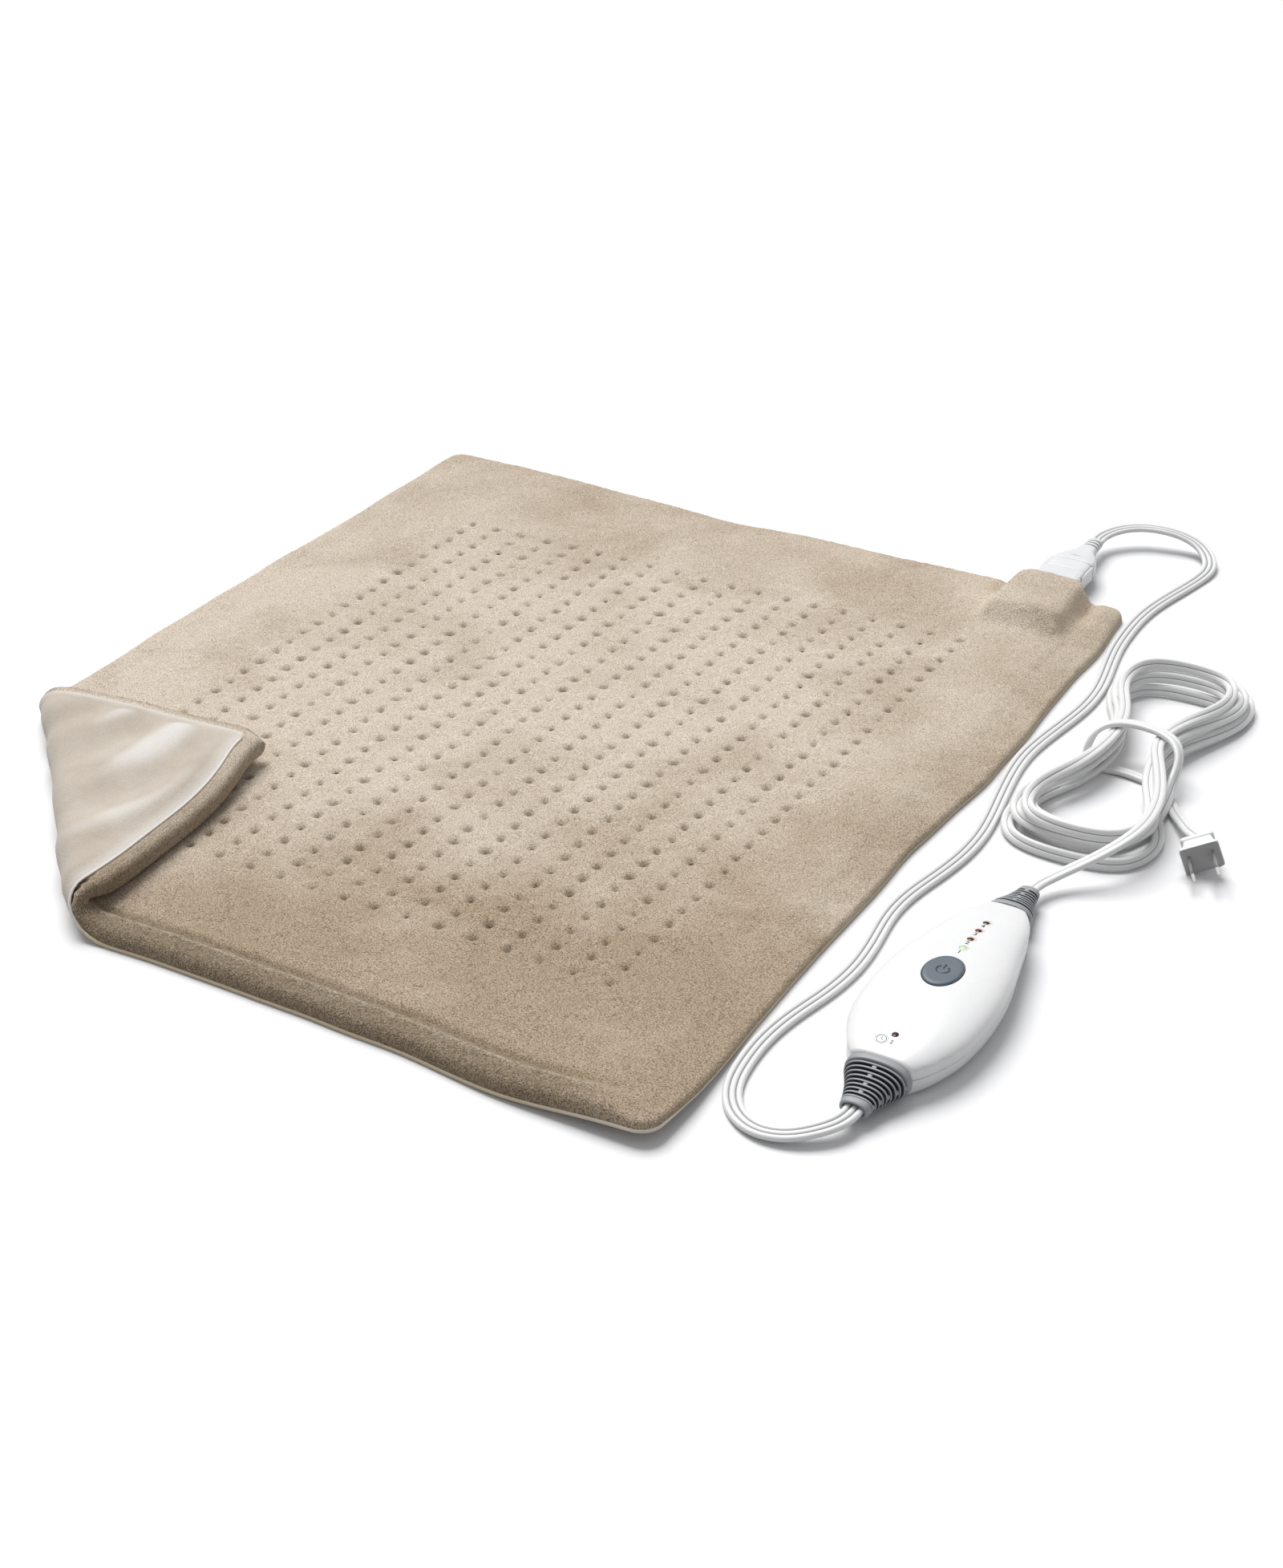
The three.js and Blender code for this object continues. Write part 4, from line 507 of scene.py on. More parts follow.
for i in range(0, rows - 1, under_step):
    for j in range(0, columns - 1, under_step):
        far = i + under_step
        wide = j + under_step
        ring = [(i, q) for q in (range(j, wide) if i == 0 else (j,))]
        ring += [(q, wide) for q in (range(i, far) if wide == columns - 1 else (i,))]
        ring += [(far, q) for q in (range(wide, j, -1) if far == rows - 1 else (wide,))]
        ring += [(q, j) for q in (range(far, i, -1) if j == 0 else (far,))]
        faces.append(tuple(low_point(*p) for p in ring))
points = np.concatenate([upper, np.array([lower[i * columns + j] for i, j in kept])])

# Micro-mink pile: short fibres that lie in small strokes, light on their tips and dark between, with a soft
# glow at grazing angles. Its colour is painted darker towards the front, the right and the back, as shade.
pile, tree, shader = new_material("micro-mink polyester pile")
where = add(tree, "TexCoord", out="Object")
# Strokes 0.8 mm long and 0.5 mm wide
strokes = add(tree, "Mapping", {"Vector": where, "Rotation": (0, 0, 0.6), "Scale": (1250, 2100, 1600)})
blur = {"Detail": 3, "Roughness": 0.62, "Distortion": 0.5}
grain = add(tree, "TexNoise", {"Vector": strokes, "Scale": 1.0, **blur})
wide = {"Detail": 3, "Roughness": 0.55, "Distortion": 0.4}
patches = add(tree, "TexNoise", {"Vector": where, "Scale": 13, **wide})
clumped = {"Detail": 3, "Roughness": 0.6, "Distortion": 0.6}
tufts = add(tree, "TexNoise", {"Vector": where, "Scale": 560, **clumped})
right, back, _ = add(tree, "SeparateXYZ", {0: where}).node.outputs
# Painted shade: darker towards the front, the right and the back, with random patches mixed in after
lean = add(tree, "VectorMath", {0: where, 1: (0.35, -1.0, 0.0)}, operation="DOT_PRODUCT")
nap = add(tree, "MapRange", {0: lean, 1: 0.06, 2: 0.29, 4: 1.05})
for side, end, most_side_shade in ((right, 0.26, 0.55), (back, 0.30, 0.4)):
    painted_side_shade = add(tree, "MapRange", {0: side, 1: 0.10, 2: end, 4: most_side_shade})
    nap = add(tree, "Math", {0: nap, 1: painted_side_shade}, operation="MAXIMUM")
mottle = add(tree, "MapRange", {0: patches, 1: 0.35, 2: 0.68, 3: -0.25, 4: 0.35})
nap = add(tree, "Math", {0: nap, 1: mottle}, operation="ADD", use_clamp=True)
tips = add(tree, "Mix", {0: nap, 6: "#FAEDDD", 7: "#D3BEA5"}, data_type="RGBA")
roots = add(tree, "Mix", {0: nap, 6: "#AF9B84", 7: "#625039"}, data_type="RGBA")
speck = add(tree, "MapRange", {0: grain, 1: 0.37, 2: 0.58})
# Painted shade: dark roots where a tack dimples the pile, along the border's stitched groove, round the
# front rim and between the border's tufts. The border's ridge gets a painted highlight.
marked = add(tree, "Attribute", out="Vector", attribute_name="tack_hem_and_painted_shade")
tack_shade, hem, seam_shade_and_highlight = add(tree, "SeparateXYZ", {0: marked}).node.outputs
shade_between_tufts = add(tree, "MapRange", {0: tufts, 1: 0.52, 2: 0.38})
shade_between_tufts = add(tree, "Math", {0: shade_between_tufts, 1: hem}, operation="MULTIPLY")
shade_between_tufts = add(tree, "Math", {0: shade_between_tufts, 1: 0.55}, operation="MULTIPLY")
painted_ridge_highlight = add(tree, "Math", {0: seam_shade_and_highlight, 1: -0.6}, operation="MULTIPLY", use_clamp=True)
painted_shade = add(tree, "Math", {0: tack_shade, 1: 0.95}, operation="MULTIPLY")
line = add(tree, "Math", {0: seam_shade_and_highlight, 1: 0.6}, operation="MULTIPLY")
painted_shade = add(tree, "Math", {0: painted_shade, 1: line}, operation="MAXIMUM")
painted_shade = add(tree, "Math", {0: painted_shade, 1: shade_between_tufts}, operation="MAXIMUM", use_clamp=True)
colour = roots
for share, over in ((speck, tips), (painted_ridge_highlight, "#F3E8D6"), (painted_shade, "#5E4F33")):
    colour = add(tree, "Mix", {0: share, 6: colour, 7: over}, data_type="RGBA")
curl = add(tree, "Math", {0: tufts, 1: hem}, operation="MULTIPLY")
curls = add(tree, "Bump", {"Height": curl, "Strength": 1.0, "Distance": 0.0022})
relief = add(tree, "Bump", {"Height": grain, "Strength": 0.7, "Distance": 0.0008, "Normal": curls})
give(shader, {"Base Color": colour, "Normal": relief, "Roughness": 0.95, "Specular IOR Level": 0.15,
              "Sheen Weight": 0.35, "Sheen Roughness": 0.45, "Sheen Tint": "#F1E4CC"})

plush = mesh_piece("plush_cover", points, faces, pile)
marks = np.zeros((len(points), 3))
marks[:count] = np.stack([tack_painted_shade, hemmed, painted_seam_shade_and_highlight], -1).reshape(-1, 3)
mark(plush, "tack_hem_and_painted_shade", marks)
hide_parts("top_cover", "edge_hem", "socket_cuff")
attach(plush, "pad")

# Tack threads: short tan stitches that hold the plush down to the felt, one in each dimple. The machine that
# sews them leaves each a little off its place and its slant.
thread_length = 2.6
thread_width = 0.9
thread_slant = 0.75
thread_rise = 0.15


def finish(name, dark, light, tone, grain=None, shade=None, slant=0, **looks):
    """A finish whose colour wanders from dark to light.

    tone is the scale and detail of the noise that it follows. grain is the same of a noise for the surface,
    and then its strength and depth. shade is an attribute, the colour that it brings, and the range of it
    that counts. looks are the shader's own values.
    """
    material, tree, shader = new_material(name)
    where = add(tree, "TexCoord", out="Object")

    def noise(scale, detail, distortion=0):
        drawn = where
        if isinstance(scale, tuple):
            drawn = add(tree, "Mapping", {"Vector": where, "Rotation": (0, 0, slant), "Scale": scale})
            scale = 1
        inputs = {"Vector": drawn, "Scale": scale, "Detail": detail, "Distortion": distortion}
        return add(tree, "TexNoise", inputs)

    spots = noise(*tone)
    colour = add(tree, "Mix", {0: spots, 6: dark, 7: light}, data_type="RGBA")
    if shade:
        share = add(tree, "Attribute", out="Fac", attribute_name=shade[0])
        if shade[2:]:
            share = add(tree, "MapRange", {0: share, 1: shade[2], 2: shade[3], 4: shade[4]})
        colour = add(tree, "Mix", {0: share, 6: colour, 7: shade[1]}, data_type="RGBA")
    give(shader, {"Base Color": colour, **{label.replace("_", " "): value for label, value in looks.items()}})
    if grain:
        height = spots if grain[:-2] == tone else noise(*grain[:-2])
        relief = add(tree, "Bump", {"Height": height, "Strength": grain[-2], "Distance": grain[-1]})
        give(shader, {"Normal": relief})
    return material


# Twisted thread, matt, with painted shade: coloured dark because it lies deep in the pile
thread = finish("tan polyester tack thread", "#5C4D36", "#8F7D5F", (1500, 1), Roughness=0.8)

tack_grid = np.array([(i, j) for i in range(tack_columns) for j in range(tack_rows)], float)
thread_x, thread_y = tack_place(tack_grid[:, 0], tack_grid[:, 1])
open_tacks = past_fold(thread_x, thread_y) < -4
thread_x = thread_x[open_tacks]
thread_y = thread_y[open_tacks]
near_x = np.argmin(np.abs(x[:, columns // 2][:, None] - thread_x), 0)
near_y = np.argmin(np.abs(y[rows // 2][:, None] - thread_y), 0)
thread_z = top[near_x, near_y] + thread_rise
tack_spots = mesh_piece("tack_threads", np.stack([thread_x, thread_y, thread_z], 1), [], thread)
mark(tack_spots, "slant", thread_slant + 0.3 * lumps(thread_x * 3.1, thread_y * 2.7, 5, 28))


def keep_shape(piece):
    """Makes what the piece's modifiers give its plain mesh, and takes them off."""
    bpy.context.view_layer.update()
    grown = piece.evaluated_get(bpy.context.evaluated_depsgraph_get())
    mesh = bpy.data.meshes.new_from_object(grown)
    piece.modifiers.clear()
    piece.data = mesh


def lay_on_points(piece, item, **sizes):
    """Lays an item on each of the piece's points with Geometry Nodes, and keeps that as a plain mesh.

    item builds the item in the tree, from its named sizes, and says how it is turned and scaled.
    """
    tree = bpy.data.node_groups.new(piece.name, "GeometryNodeTree")
    for way in ("INPUT", "OUTPUT"):
        tree.interface.new_socket("Geometry", in_out=way, socket_type="NodeSocketGeometry")
    for label, size in sizes.items():
        tree.interface.new_socket(label, in_out="INPUT", socket_type="NodeSocketFloat").default_value = size
    given = add(tree, "NodeGroupInput").node.outputs
    laid = add(tree, "GeometryNodeInstanceOnPoints", {"Points": given["Geometry"], **item(tree, given)})
    real = add(tree, "GeometryNodeRealizeInstances", {0: laid})
    made = add(tree, "GeometryNodeSetMaterial", {"Geometry": real, "Material": piece.data.materials[0]})
    give(tree.nodes.new("NodeGroupOutput"), {0: made})
    grower = piece.modifiers.new(tree.name, "NODES")
    grower.node_group = tree
    for socket in tree.interface.items_tree:
        if socket.in_out == "INPUT" and socket.socket_type == "NodeSocketFloat":
            grower[socket.identifier] = socket.default_value
    keep_shape(piece)


def stitch_bead(tree, given):
    bead = add(tree, "GeometryNodeMeshUVSphere", {"Segments": 8, "Rings": 5, "Radius": 0.5})
    size = add(tree, "CombineXYZ", {0: given["length"], 1: given["width"], 2: given["width"]})
    slant = add(tree, "GeometryNodeInputNamedAttribute", {"Name": "slant"}, data_type="FLOAT")
    rounded = add(tree, "GeometryNodeSetShadeSmooth", {"Geometry": bead})
    return {"Instance": rounded, "Rotation": add(tree, "CombineXYZ", {2: slant}), "Scale": size}


lay_on_points(tack_spots, stitch_bead, length=thread_length * 0.001, width=thread_width * 0.001)
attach(tack_spots, "pad")

# Heating felt: the needled polyester carrier that the wire is sewn to, cut smaller than the two covers.
# It lies loose between them and turns up with the corner.
felt_half_width = 214.0
felt_front = -233.2
felt_back = 232.2
felt_base = 2.1
felt_thickness = 1.2
# Matt white wool-like felt, with fibres that cross every way
fibres = (700, 4, 1.5)
felt = finish("needled polyester felt", "#C9C6BE", "#F1EFEA", fibres, (*fibres, 0.6, 0.0005), Roughness=0.95)
felt_xs = np.linspace(-felt_half_width, felt_half_width, 91)
felt_ys = np.linspace(felt_front, felt_back, 99)
felt_x, felt_y = np.meshgrid(felt_xs, felt_ys, indexing="ij")
layers = [folded(felt_x, felt_y, height) for height in (felt_base, felt_base + felt_thickness)]
carrier = mesh_piece("felt_carrier", *sheet(*layers), felt)
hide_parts("heating_felt")
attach(carrier, "pad")

# Inside the pad: one loop of silicone-covered heating wire on the felt, and a white moulded socket at the
# pad's edge, with three brass pins that end it.

# Soft, dull and slightly waxy, with talc on it
wire_silicone = finish("silicone rubber wire covering", "#B8B2A6", "#DDD8CD", (500, 3),
                       Roughness=0.6, IOR=1.43)
# Moulded with a light frost: milky at thin edges, satin, with a soft pale grey depth. Painted shade greys
# its seam, its pressed crescent and the side walls of its ribs
clear_white = finish("frosted white polypropylene", "#E4E6E7", "#F2F3F3", (60, 2), (900, 3, 0.08, 0.0001),
                     ("slot_wall", "#A9ABAD"), Roughness=0.3, IOR=1.49, Subsurface_Weight=0.35,
                     Subsurface_Radius=(1, 1, 1), Subsurface_Scale=0.003)
# Fine turning marks across the pin, and a little tarnish
brass = finish("turned brass", "#B08A45", "#D9B970", (180, 3), ((40, 6000, 40), 2, 0.1, 0.0001),
               Metallic=1, Roughness=0.28)


def dress(material, *nodes):
    """Gives parts that come from the CAD model their finish."""
    for node in nodes:
        part = bpy.data.objects[node]
        if not part.data.materials:
            part.data.materials.append(material)
        for place in part.material_slots:
            place.material = material


dress(wire_silicone, "heating_wire")
dress(clear_white, "pad_socket", "release_tab_left", "release_tab_right")
dress(brass, "socket_pin_1", "socket_pin_2", "socket_pin_3")
dress(brass, "connector_contact_1", "connector_contact_2", "connector_contact_3")

# Connector: the lead's end, a frosted white moulded hood that flares from the relief to an arched front. Its
# tongue with three contacts goes into the socket, and a springy tab stands in a pocket at each side.
connector_x = 204.0
connector_z = 10.9
hood_front = 322.3
hood_length = 43.0
hood_half_width = 15.1
hood_half_height = 6.3
hood_power = 4
tongue_tip = 304.0
tongue_half_width = 11.9
tongue_half_height = 3.95
contact_spacing = 6.4
contact_radius = 1.78
hood_widths = [(0, 1), (0.06, 1.02), (0.45, 0.98), (0.68, 0.72), (0.86, 0.47), (1, 0.41)]
hood_heights = [(0, 1), (0.06, 1.02), (0.45, 1), (0.68, 0.86), (0.86, 0.7), (1, 0.66)]
pocket_section = ((11.9, 6), (17, 6), (17, 15.8), (11.9, 15.8))
pocket_back = 336.2
contact_back = 318.9
seam_run = 14.0
seam_depth = 0.28
crescent_run = 21.5
crescent_depth = 0.35


def share_curve(shares):
    """A Catmull-Rom curve through the shares, as places along it and the share at each."""
    knots = np.array([shares[0]] + shares + [shares[-1]], float)
    t = np.linspace(0, 1, 40)[:, None]
    spans = []
    for a, b, c, d in zip(knots, knots[1:], knots[2:], knots[3:]):
        bend = t ** 2 * (a - 2.5 * b + 2 * c - d / 2) + t ** 3 * (d - 3 * c + 3 * b - a) / 2
        spans.append(b + t * (c - a) / 2 + bend)
    return np.concatenate(spans).T


def oval(turn, power):
    """Shares of the width and height at each turn: a round oval at power 2, a rounded box at 8."""
    return [np.sign(part) * np.abs(part) ** (2 / power) for part in (np.cos(turn), np.sin(turn))]


def oval_ring(y, x, z, half_wide, half_tall, power, steps=48):
    """A closed ring across y."""
    wide, tall = oval(round_turns(steps), power)
    return np.stack([x + half_wide * wide, y + 0 * wide, z + half_tall * tall], 1)


def joined(skins):
    """Several skins as one list of points and one of faces."""
    points = np.concatenate([part for part, _ in skins])
    faces = []
    first = 0
    for part, part_faces in skins:
        faces += [tuple(first + i for i in face) for face in part_faces]
        first += len(part)
    return points, faces


def solid_piece(name, skins, material, sharp=35):
    """One piece of one or more closed skins, facing outwards, with edges over the angle kept sharp."""
    piece = mesh_piece(name, *joined(skins), material)
    shape = bmesh.new()
    shape.from_mesh(piece.data)
    bmesh.ops.recalc_face_normals(shape, faces=shape.faces)
    shape.to_mesh(piece.data)
    shape.free()
    piece.data.set_sharp_from_angle(angle=math.radians(sharp))
    return piece


def cut(piece, *skins, lining=None):
    """Cuts closed skins out of the piece, and may line what it cuts. They don't touch each other."""
    cutter = solid_piece("cutter", skins, lining or piece.data.materials[0])
    knife = piece.modifiers.new("cut", "BOOLEAN")
    knife.operation = "DIFFERENCE"
    knife.solver = "EXACT"
    knife.object = cutter
    keep_shape(piece)
    bpy.data.objects.remove(cutter)
    piece.data.set_sharp_from_angle(angle=math.radians(35))


hood_rings = []
hood_shade = []
width_curve = share_curve(hood_widths)
height_curve = share_curve(hood_heights)
for run in [0, 0, 0.15, 0.45] + list(np.linspace(0.8, hood_length, 110)):
    rounding = 0 if hood_rings and run >= 0.8 else 0.5 - run * 0.6
    wide = hood_half_width * np.interp(run / hood_length, *width_curve) - rounding
    tall = hood_half_height * np.interp(run / hood_length, *height_curve) - rounding
    ring = oval_ring(hood_front + run, connector_x, connector_z, wide, tall, hood_power, 96)
    # The seam of the two mouldings goes over the top and under the base, with a pressed crescent behind it
    across = (ring[:, 0] - connector_x) / hood_half_width
    arch = seam_run - 1.5 * across ** 2
    seam = peak(run - arch, 0.35) - 0.5 * peak(run - arch - 0.9, 0.5)
    above = ring[:, 2] - connector_z
    ring[:, 2] -= np.sign(above) * seam_depth * seam * (np.abs(above) > 0.6 * tall)
    crescent = smooth(1.5 * (1 - (across / 0.33) ** 2) - np.abs(run - crescent_run - 3 * across ** 2))
    ring[:, 2] -= crescent_depth * crescent * (ring[:, 2] > connector_z)
    hood_rings.append(ring)
    # Painted shade along the seam and in the pressed crescent, on the top half
    seam_shade = np.maximum(1.2 * peak(run - arch, 0.35), 0.7 * crescent)
    hood_shade.append(seam_shade * (ring[:, 2] > connector_z))
hood = solid_piece("connector_hood_shell", [lofted(hood_rings)], clear_white)
mark(hood, "slot_wall", np.concatenate(hood_shade))
cut(hood, *[lofted([[(connector_x + side * a, y, b) for a, b in pocket_section]
                    for y in (hood_front - 2, pocket_back)]) for side in (-1, 1)])
tongue_shape = ((tongue_tip, 0.5), (tongue_tip + 0.2, 0.2), (tongue_tip + 0.6, 0), (hood_front + 1, 0))
tongue = solid_piece("connector_tongue", [lofted([
    oval_ring(y, connector_x, connector_z, tongue_half_width - a, tongue_half_height - a, 6)
    for y, a in tongue_shape])], clear_white)
cut(tongue, *[lofted([oval_ring(y, connector_x + across, connector_z, contact_radius, contact_radius, 2, 32)
                      for y in (tongue_tip - 1, contact_back)])
              for across in (-contact_spacing, 0, contact_spacing)])
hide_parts("connector_hood")
for piece in (hood, tongue):
    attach(piece, "lead")

# Connector's relief: four soft ribs round a slim neck, where the lead comes out and must not kink.
# It is moulded in one with the hood, in the same frosted plastic.
neck_front = 365.0
neck_back = 381.5
neck_half_width = 5.8
neck_half_height = 3.9
neck_ribs = 4
neck_pitch = 4.0
rib_thickness = 2.5
rib_edge = [(-0.5, 0.955), (-0.46, 0.985), (-0.39, 1), (0, 1.0), (0.39, 1), (0.46, 0.985), (0.5, 0.955)]
rib_steps = 64
relief_power = 2.4
rib_taper = 0.035
rib_rings = [oval_ring(y * 1000, 0, 0, 1000 * s, 1000 * s, relief_power, rib_steps) for y, s in rib_edge]
rib_shape = solid_piece("rib_shape", [lofted(rib_rings)], clear_white, sharp=60)
# Painted shade on the rib's two side walls, towards the slots
mark(rib_shape, "slot_wall", np.repeat([1, 0, 0, 0, 0, 0, 1], rib_steps))


def rib(tree, given):
    size = add(tree, "GeometryNodeInputNamedAttribute", {"Name": "rib_size"}, data_type="FLOAT_VECTOR")
    thick = add(tree, "CombineXYZ", {0: 1.0, 1: given["thickness"], 2: 1.0})
    scale = add(tree, "VectorMath", {0: size, 1: thick}, operation="MULTIPLY")
    shape = add(tree, "GeometryNodeObjectInfo", {"Object": rib_shape}, out="Geometry")
    return {"Instance": shape, "Scale": scale}


def grow_ribs(name, material, thickness, places):
    """Ribs along a relief. Each place is its x, y, z in millimetres, half width and half height."""
    ribs = mesh_piece(name, [spot[:3] for spot in places], [], material)
    mark(ribs, "rib_size", [(half * 0.001, 1, tall * 0.001) for *_, half, tall in places])
    lay_on_points(ribs, rib, thickness=0.001 * thickness)
    return ribs


neck_shape = ((neck_front, 0.8), (neck_back - 2, 0.66), (neck_back - 1.9, 0.84), (neck_back - 0.2, 0.82),
              (neck_back, 0.77))
neck = solid_piece("connector_relief_neck", [lofted([
    oval_ring(y, connector_x, connector_z, neck_half_width * s, neck_half_height * s, relief_power)
    for y, s in neck_shape])], clear_white)
first_rib = neck_front + 0.7 + rib_thickness / 2
neck_rings = grow_ribs("connector_relief_ribs", clear_white, rib_thickness, [
    (connector_x, first_rib + neck_pitch * i, connector_z, neck_half_width * s, neck_half_height * s)
    for i, s in enumerate(1 - rib_taper * np.arange(neck_ribs))])
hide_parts("connector_relief")
for piece in (neck, neck_rings):
    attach(piece, "lead")

# Pad lead: a flat three-core cord in white PVC, extruded as three round ridges side by side.
# It rises off the connector's relief, loops over and lies along the pad to the controller.
lead_thickness = 3.2


def through(points, spacing):
    """A natural cubic spline through the points, sampled evenly. Columns after x, y, z follow along."""
    points = np.array(points, float)
    span = np.linalg.norm(np.diff(points[:, :3], axis=0), axis=1)
    place = np.concatenate([[0], np.cumsum(span)])
    system = np.eye(len(points))
    right = np.zeros_like(points)
    slope = np.diff(points, axis=0) / span[:, None]
    for i in range(1, len(points) - 1):
        system[i, i - 1:i + 2] = span[i - 1], 2 * (span[i - 1] + span[i]), span[i]
        right[i] = 6 * (slope[i] - slope[i - 1])
    bend = np.linalg.solve(system, right)
    at = np.linspace(0, place[-1], int(place[-1] / spacing) + 2)
    i = np.clip(np.searchsorted(place, at, side="right") - 1, 0, len(span) - 1)
    h = span[i][:, None]
    b = (at - place[i])[:, None] / h
    a = 1 - b
    curve = (a ** 3 - a) * bend[i] + (b ** 3 - b) * bend[i + 1]
    return a * points[i] + b * points[i + 1] + curve * h ** 2 / 6


def swept_cord(name, route, facing, section, material):
    """Carries a closed section along the route. facing is the way that the section's flat side looks."""
    along = np.gradient(route, axis=0)
    along /= np.linalg.norm(along, axis=1)[:, None]
    up = facing - (facing * along).sum(1)[:, None] * along
    up /= np.linalg.norm(up, axis=1)[:, None]
    across = np.cross(along, up)
    rings = route[:, None] + across[:, None] * section[None, :, :1] + up[:, None] * section[None, :, 1:]
    piece = mesh_piece(name, *lofted(rings), material)
    # Painted shade for the grooves between the cores: 1 at the bottom of a groove
    rim = section[:, 1].max()
    depth = np.where(np.abs(section[:, 0]) < section[:, 0].max() - rim, 1 - np.abs(section[:, 1]) / rim, 0)
    mark(piece, "groove", np.tile(np.clip(depth / max(depth.max(), 0.01), 0, 1), len(route)))
    return piece, np.linalg.norm(np.diff(route, axis=0), axis=1).sum()


def ridged_section(cores, pitch, radius, web, steps):
    """Outline of cores side by side. web is how far in the groove between two cores goes, as a share."""
    half = (cores - 1) * pitch / 2
    upper = []
    for core in range(cores):
        centre = -half + core * pitch
        first = math.pi - (0 if core == 0 else web)
        last = 0 if core == cores - 1 else web
        for i in range(steps + 1):
            turn = first + (last - first) * i / steps
            upper.append((centre + radius * math.cos(turn), radius * math.sin(turn)))
    lower = [(x, -y) for x, y in reversed(upper[1:-1])]
    return np.array(upper + lower)[::-1]


# PVC cord: soft, a little glossy, with the faint waviness of extrusion that breaks up its highlights.
# Painted shade darkens the grooves between the cores.
waves = (220, 2)
cord_pvc = finish("extruded white PVC", "#EDEDEC", "#F4F4F3", waves, (*waves, 0.12, 0.0003),
                  ("groove", "#77787A", 0.3, 1.0, 0.85), Roughness=0.36, IOR=1.53, Subsurface_Weight=0.12,
                  Subsurface_Radius=(1, 1, 1), Subsurface_Scale=0.0012)

cord_step = 2.2
lead_clearance = 0.15
low = lead_thickness / 2 + lead_clearance
lead_points = [
    (204, 381.9, 10.9), (204, 391.2, 10.9), (212, 406, 12.5), (224, 415, 13), (239, 419, 12.5),
    (252, 420, 10.5), (263, 417, 8), (272, 409, 5), (277, 397, 3), (276, 379, low), (271, 355, low),
    (266, 332, low), (263, 308, low), (263, 282, low), (265, 257, low), (270, 228, low), (274, 204, low),
    (275, 179, low), (273, 158, low), (269, 130, low), (267, 105, low), (269, 78, low), (275, 42, low),
    (279, 14, low), (279, -13, low), (275, -40, low), (271, -62, low), (270, -85, low), (273, -110, low),
    (275, -138, low), (272, -165, low), (267, -188, low), (264, -213, low), (265, -235, low),
    (270, -256, low), (281, -271, low + 0.4), (294, -277, low + 1.2), (308, -275, low + 2.6),
    (318.5, -268, low + 4.4), (325, -260, low + 5.6), (327.5, -251.6, 8), (327.5, -246.4, 8),
]
lead_route = through(lead_points, cord_step)
lead_section = ridged_section(3, lead_thickness, lead_thickness / 2, 0.36, 9)
lead, lead_run = swept_cord("pad_lead_cord", lead_route, np.array([[0, 0, 1.0]]), lead_section, cord_pvc)
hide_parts("pad_lead")
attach(lead, "lead")

# Controller housing: two glossy white ABS half shells, widest near the lower end, whose plan and height
# follow smooth curves. The upper one stands a little proud of the lower along the parting line.
controller_x = 327.5
controller_y = -145.0
housing_half_length = 76.0
housing_half_width = 33.0
housing_height = 26.0
housing_wall = 2.0
parting = 11.0
shell_gap = 0.15
end_radius = 1.8
crease_rise = 5.2
upper_power = 3.1
lower_power = 3.6
neck_power = 2.6
width_shares = [(-1, 0.5), (-0.86, 0.72), (-0.6, 0.93), (-0.25, 1), (0.1, 0.94), (0.45, 0.77), (0.8, 0.58),
                (1, 0.37)]
height_shares = [(-1, 0.78), (-0.6, 0.93), (-0.15, 1), (0.3, 0.97), (0.7, 0.85), (1, 0.67)]
button_y = -6.7
button_width = 19.2
button_length = 26.4
button_gap = 0.4
light_radius = 1.5
light_gap = 0.25
light_places = {"high": 46.4, "medium": 36.5, "low": 26.5, "warm": 16.7, "timer": -60.5}
screw_shares = [(-0.515, -0.684), (0.515, -0.684), (-0.424, 0.553), (0.424, 0.553)]
screw_head_radius = 2.8
screw_recess = 4.9
boss_radius = 3.6
upper_boss_radius = 3
boss_bore = 1.4
recess_wall = 4.8


def housing_width(y):
    return housing_half_width * np.interp(y / housing_half_length, *share_curve(width_shares))


def housing_top(y):
    return housing_height * np.interp(y / housing_half_length, *share_curve(height_shares))


def level_ring(x, y, z, radius, long=1.0, steps=40):
    """A level ring, round, or oval where its length is more than its width."""
    turn = round_turns(steps)
    return np.stack([x + radius * np.cos(turn), y + radius * long * np.sin(turn), z + 0 * turn], 1)


def post(x, y, z0, z1, radius, long=1.0, steps=40):
    return lofted([level_ring(x, y, z, radius, long, steps) for z in (z0, z1)])


def tube(x, y, z0, z1, outer, inner, steps=32):
    """An upright tube, as a ring of wall that is closed all round."""
    corners = ((inner, z0), (outer, z0), (outer, z1), (inner, z1))
    return lofted([level_ring(x, y, z, radius, steps=steps) for radius, z in corners], closed=True)


def add_skins(piece, *skins):
    """Adds closed skins to the piece's mesh, facing outwards."""
    extra = solid_piece("extra", skins, piece.data.materials[0])
    shape = bmesh.new()
    shape.from_mesh(piece.data)
    shape.from_mesh(extra.data)
    shape.to_mesh(piece.data)
    shape.free()
    bpy.data.objects.remove(extra)


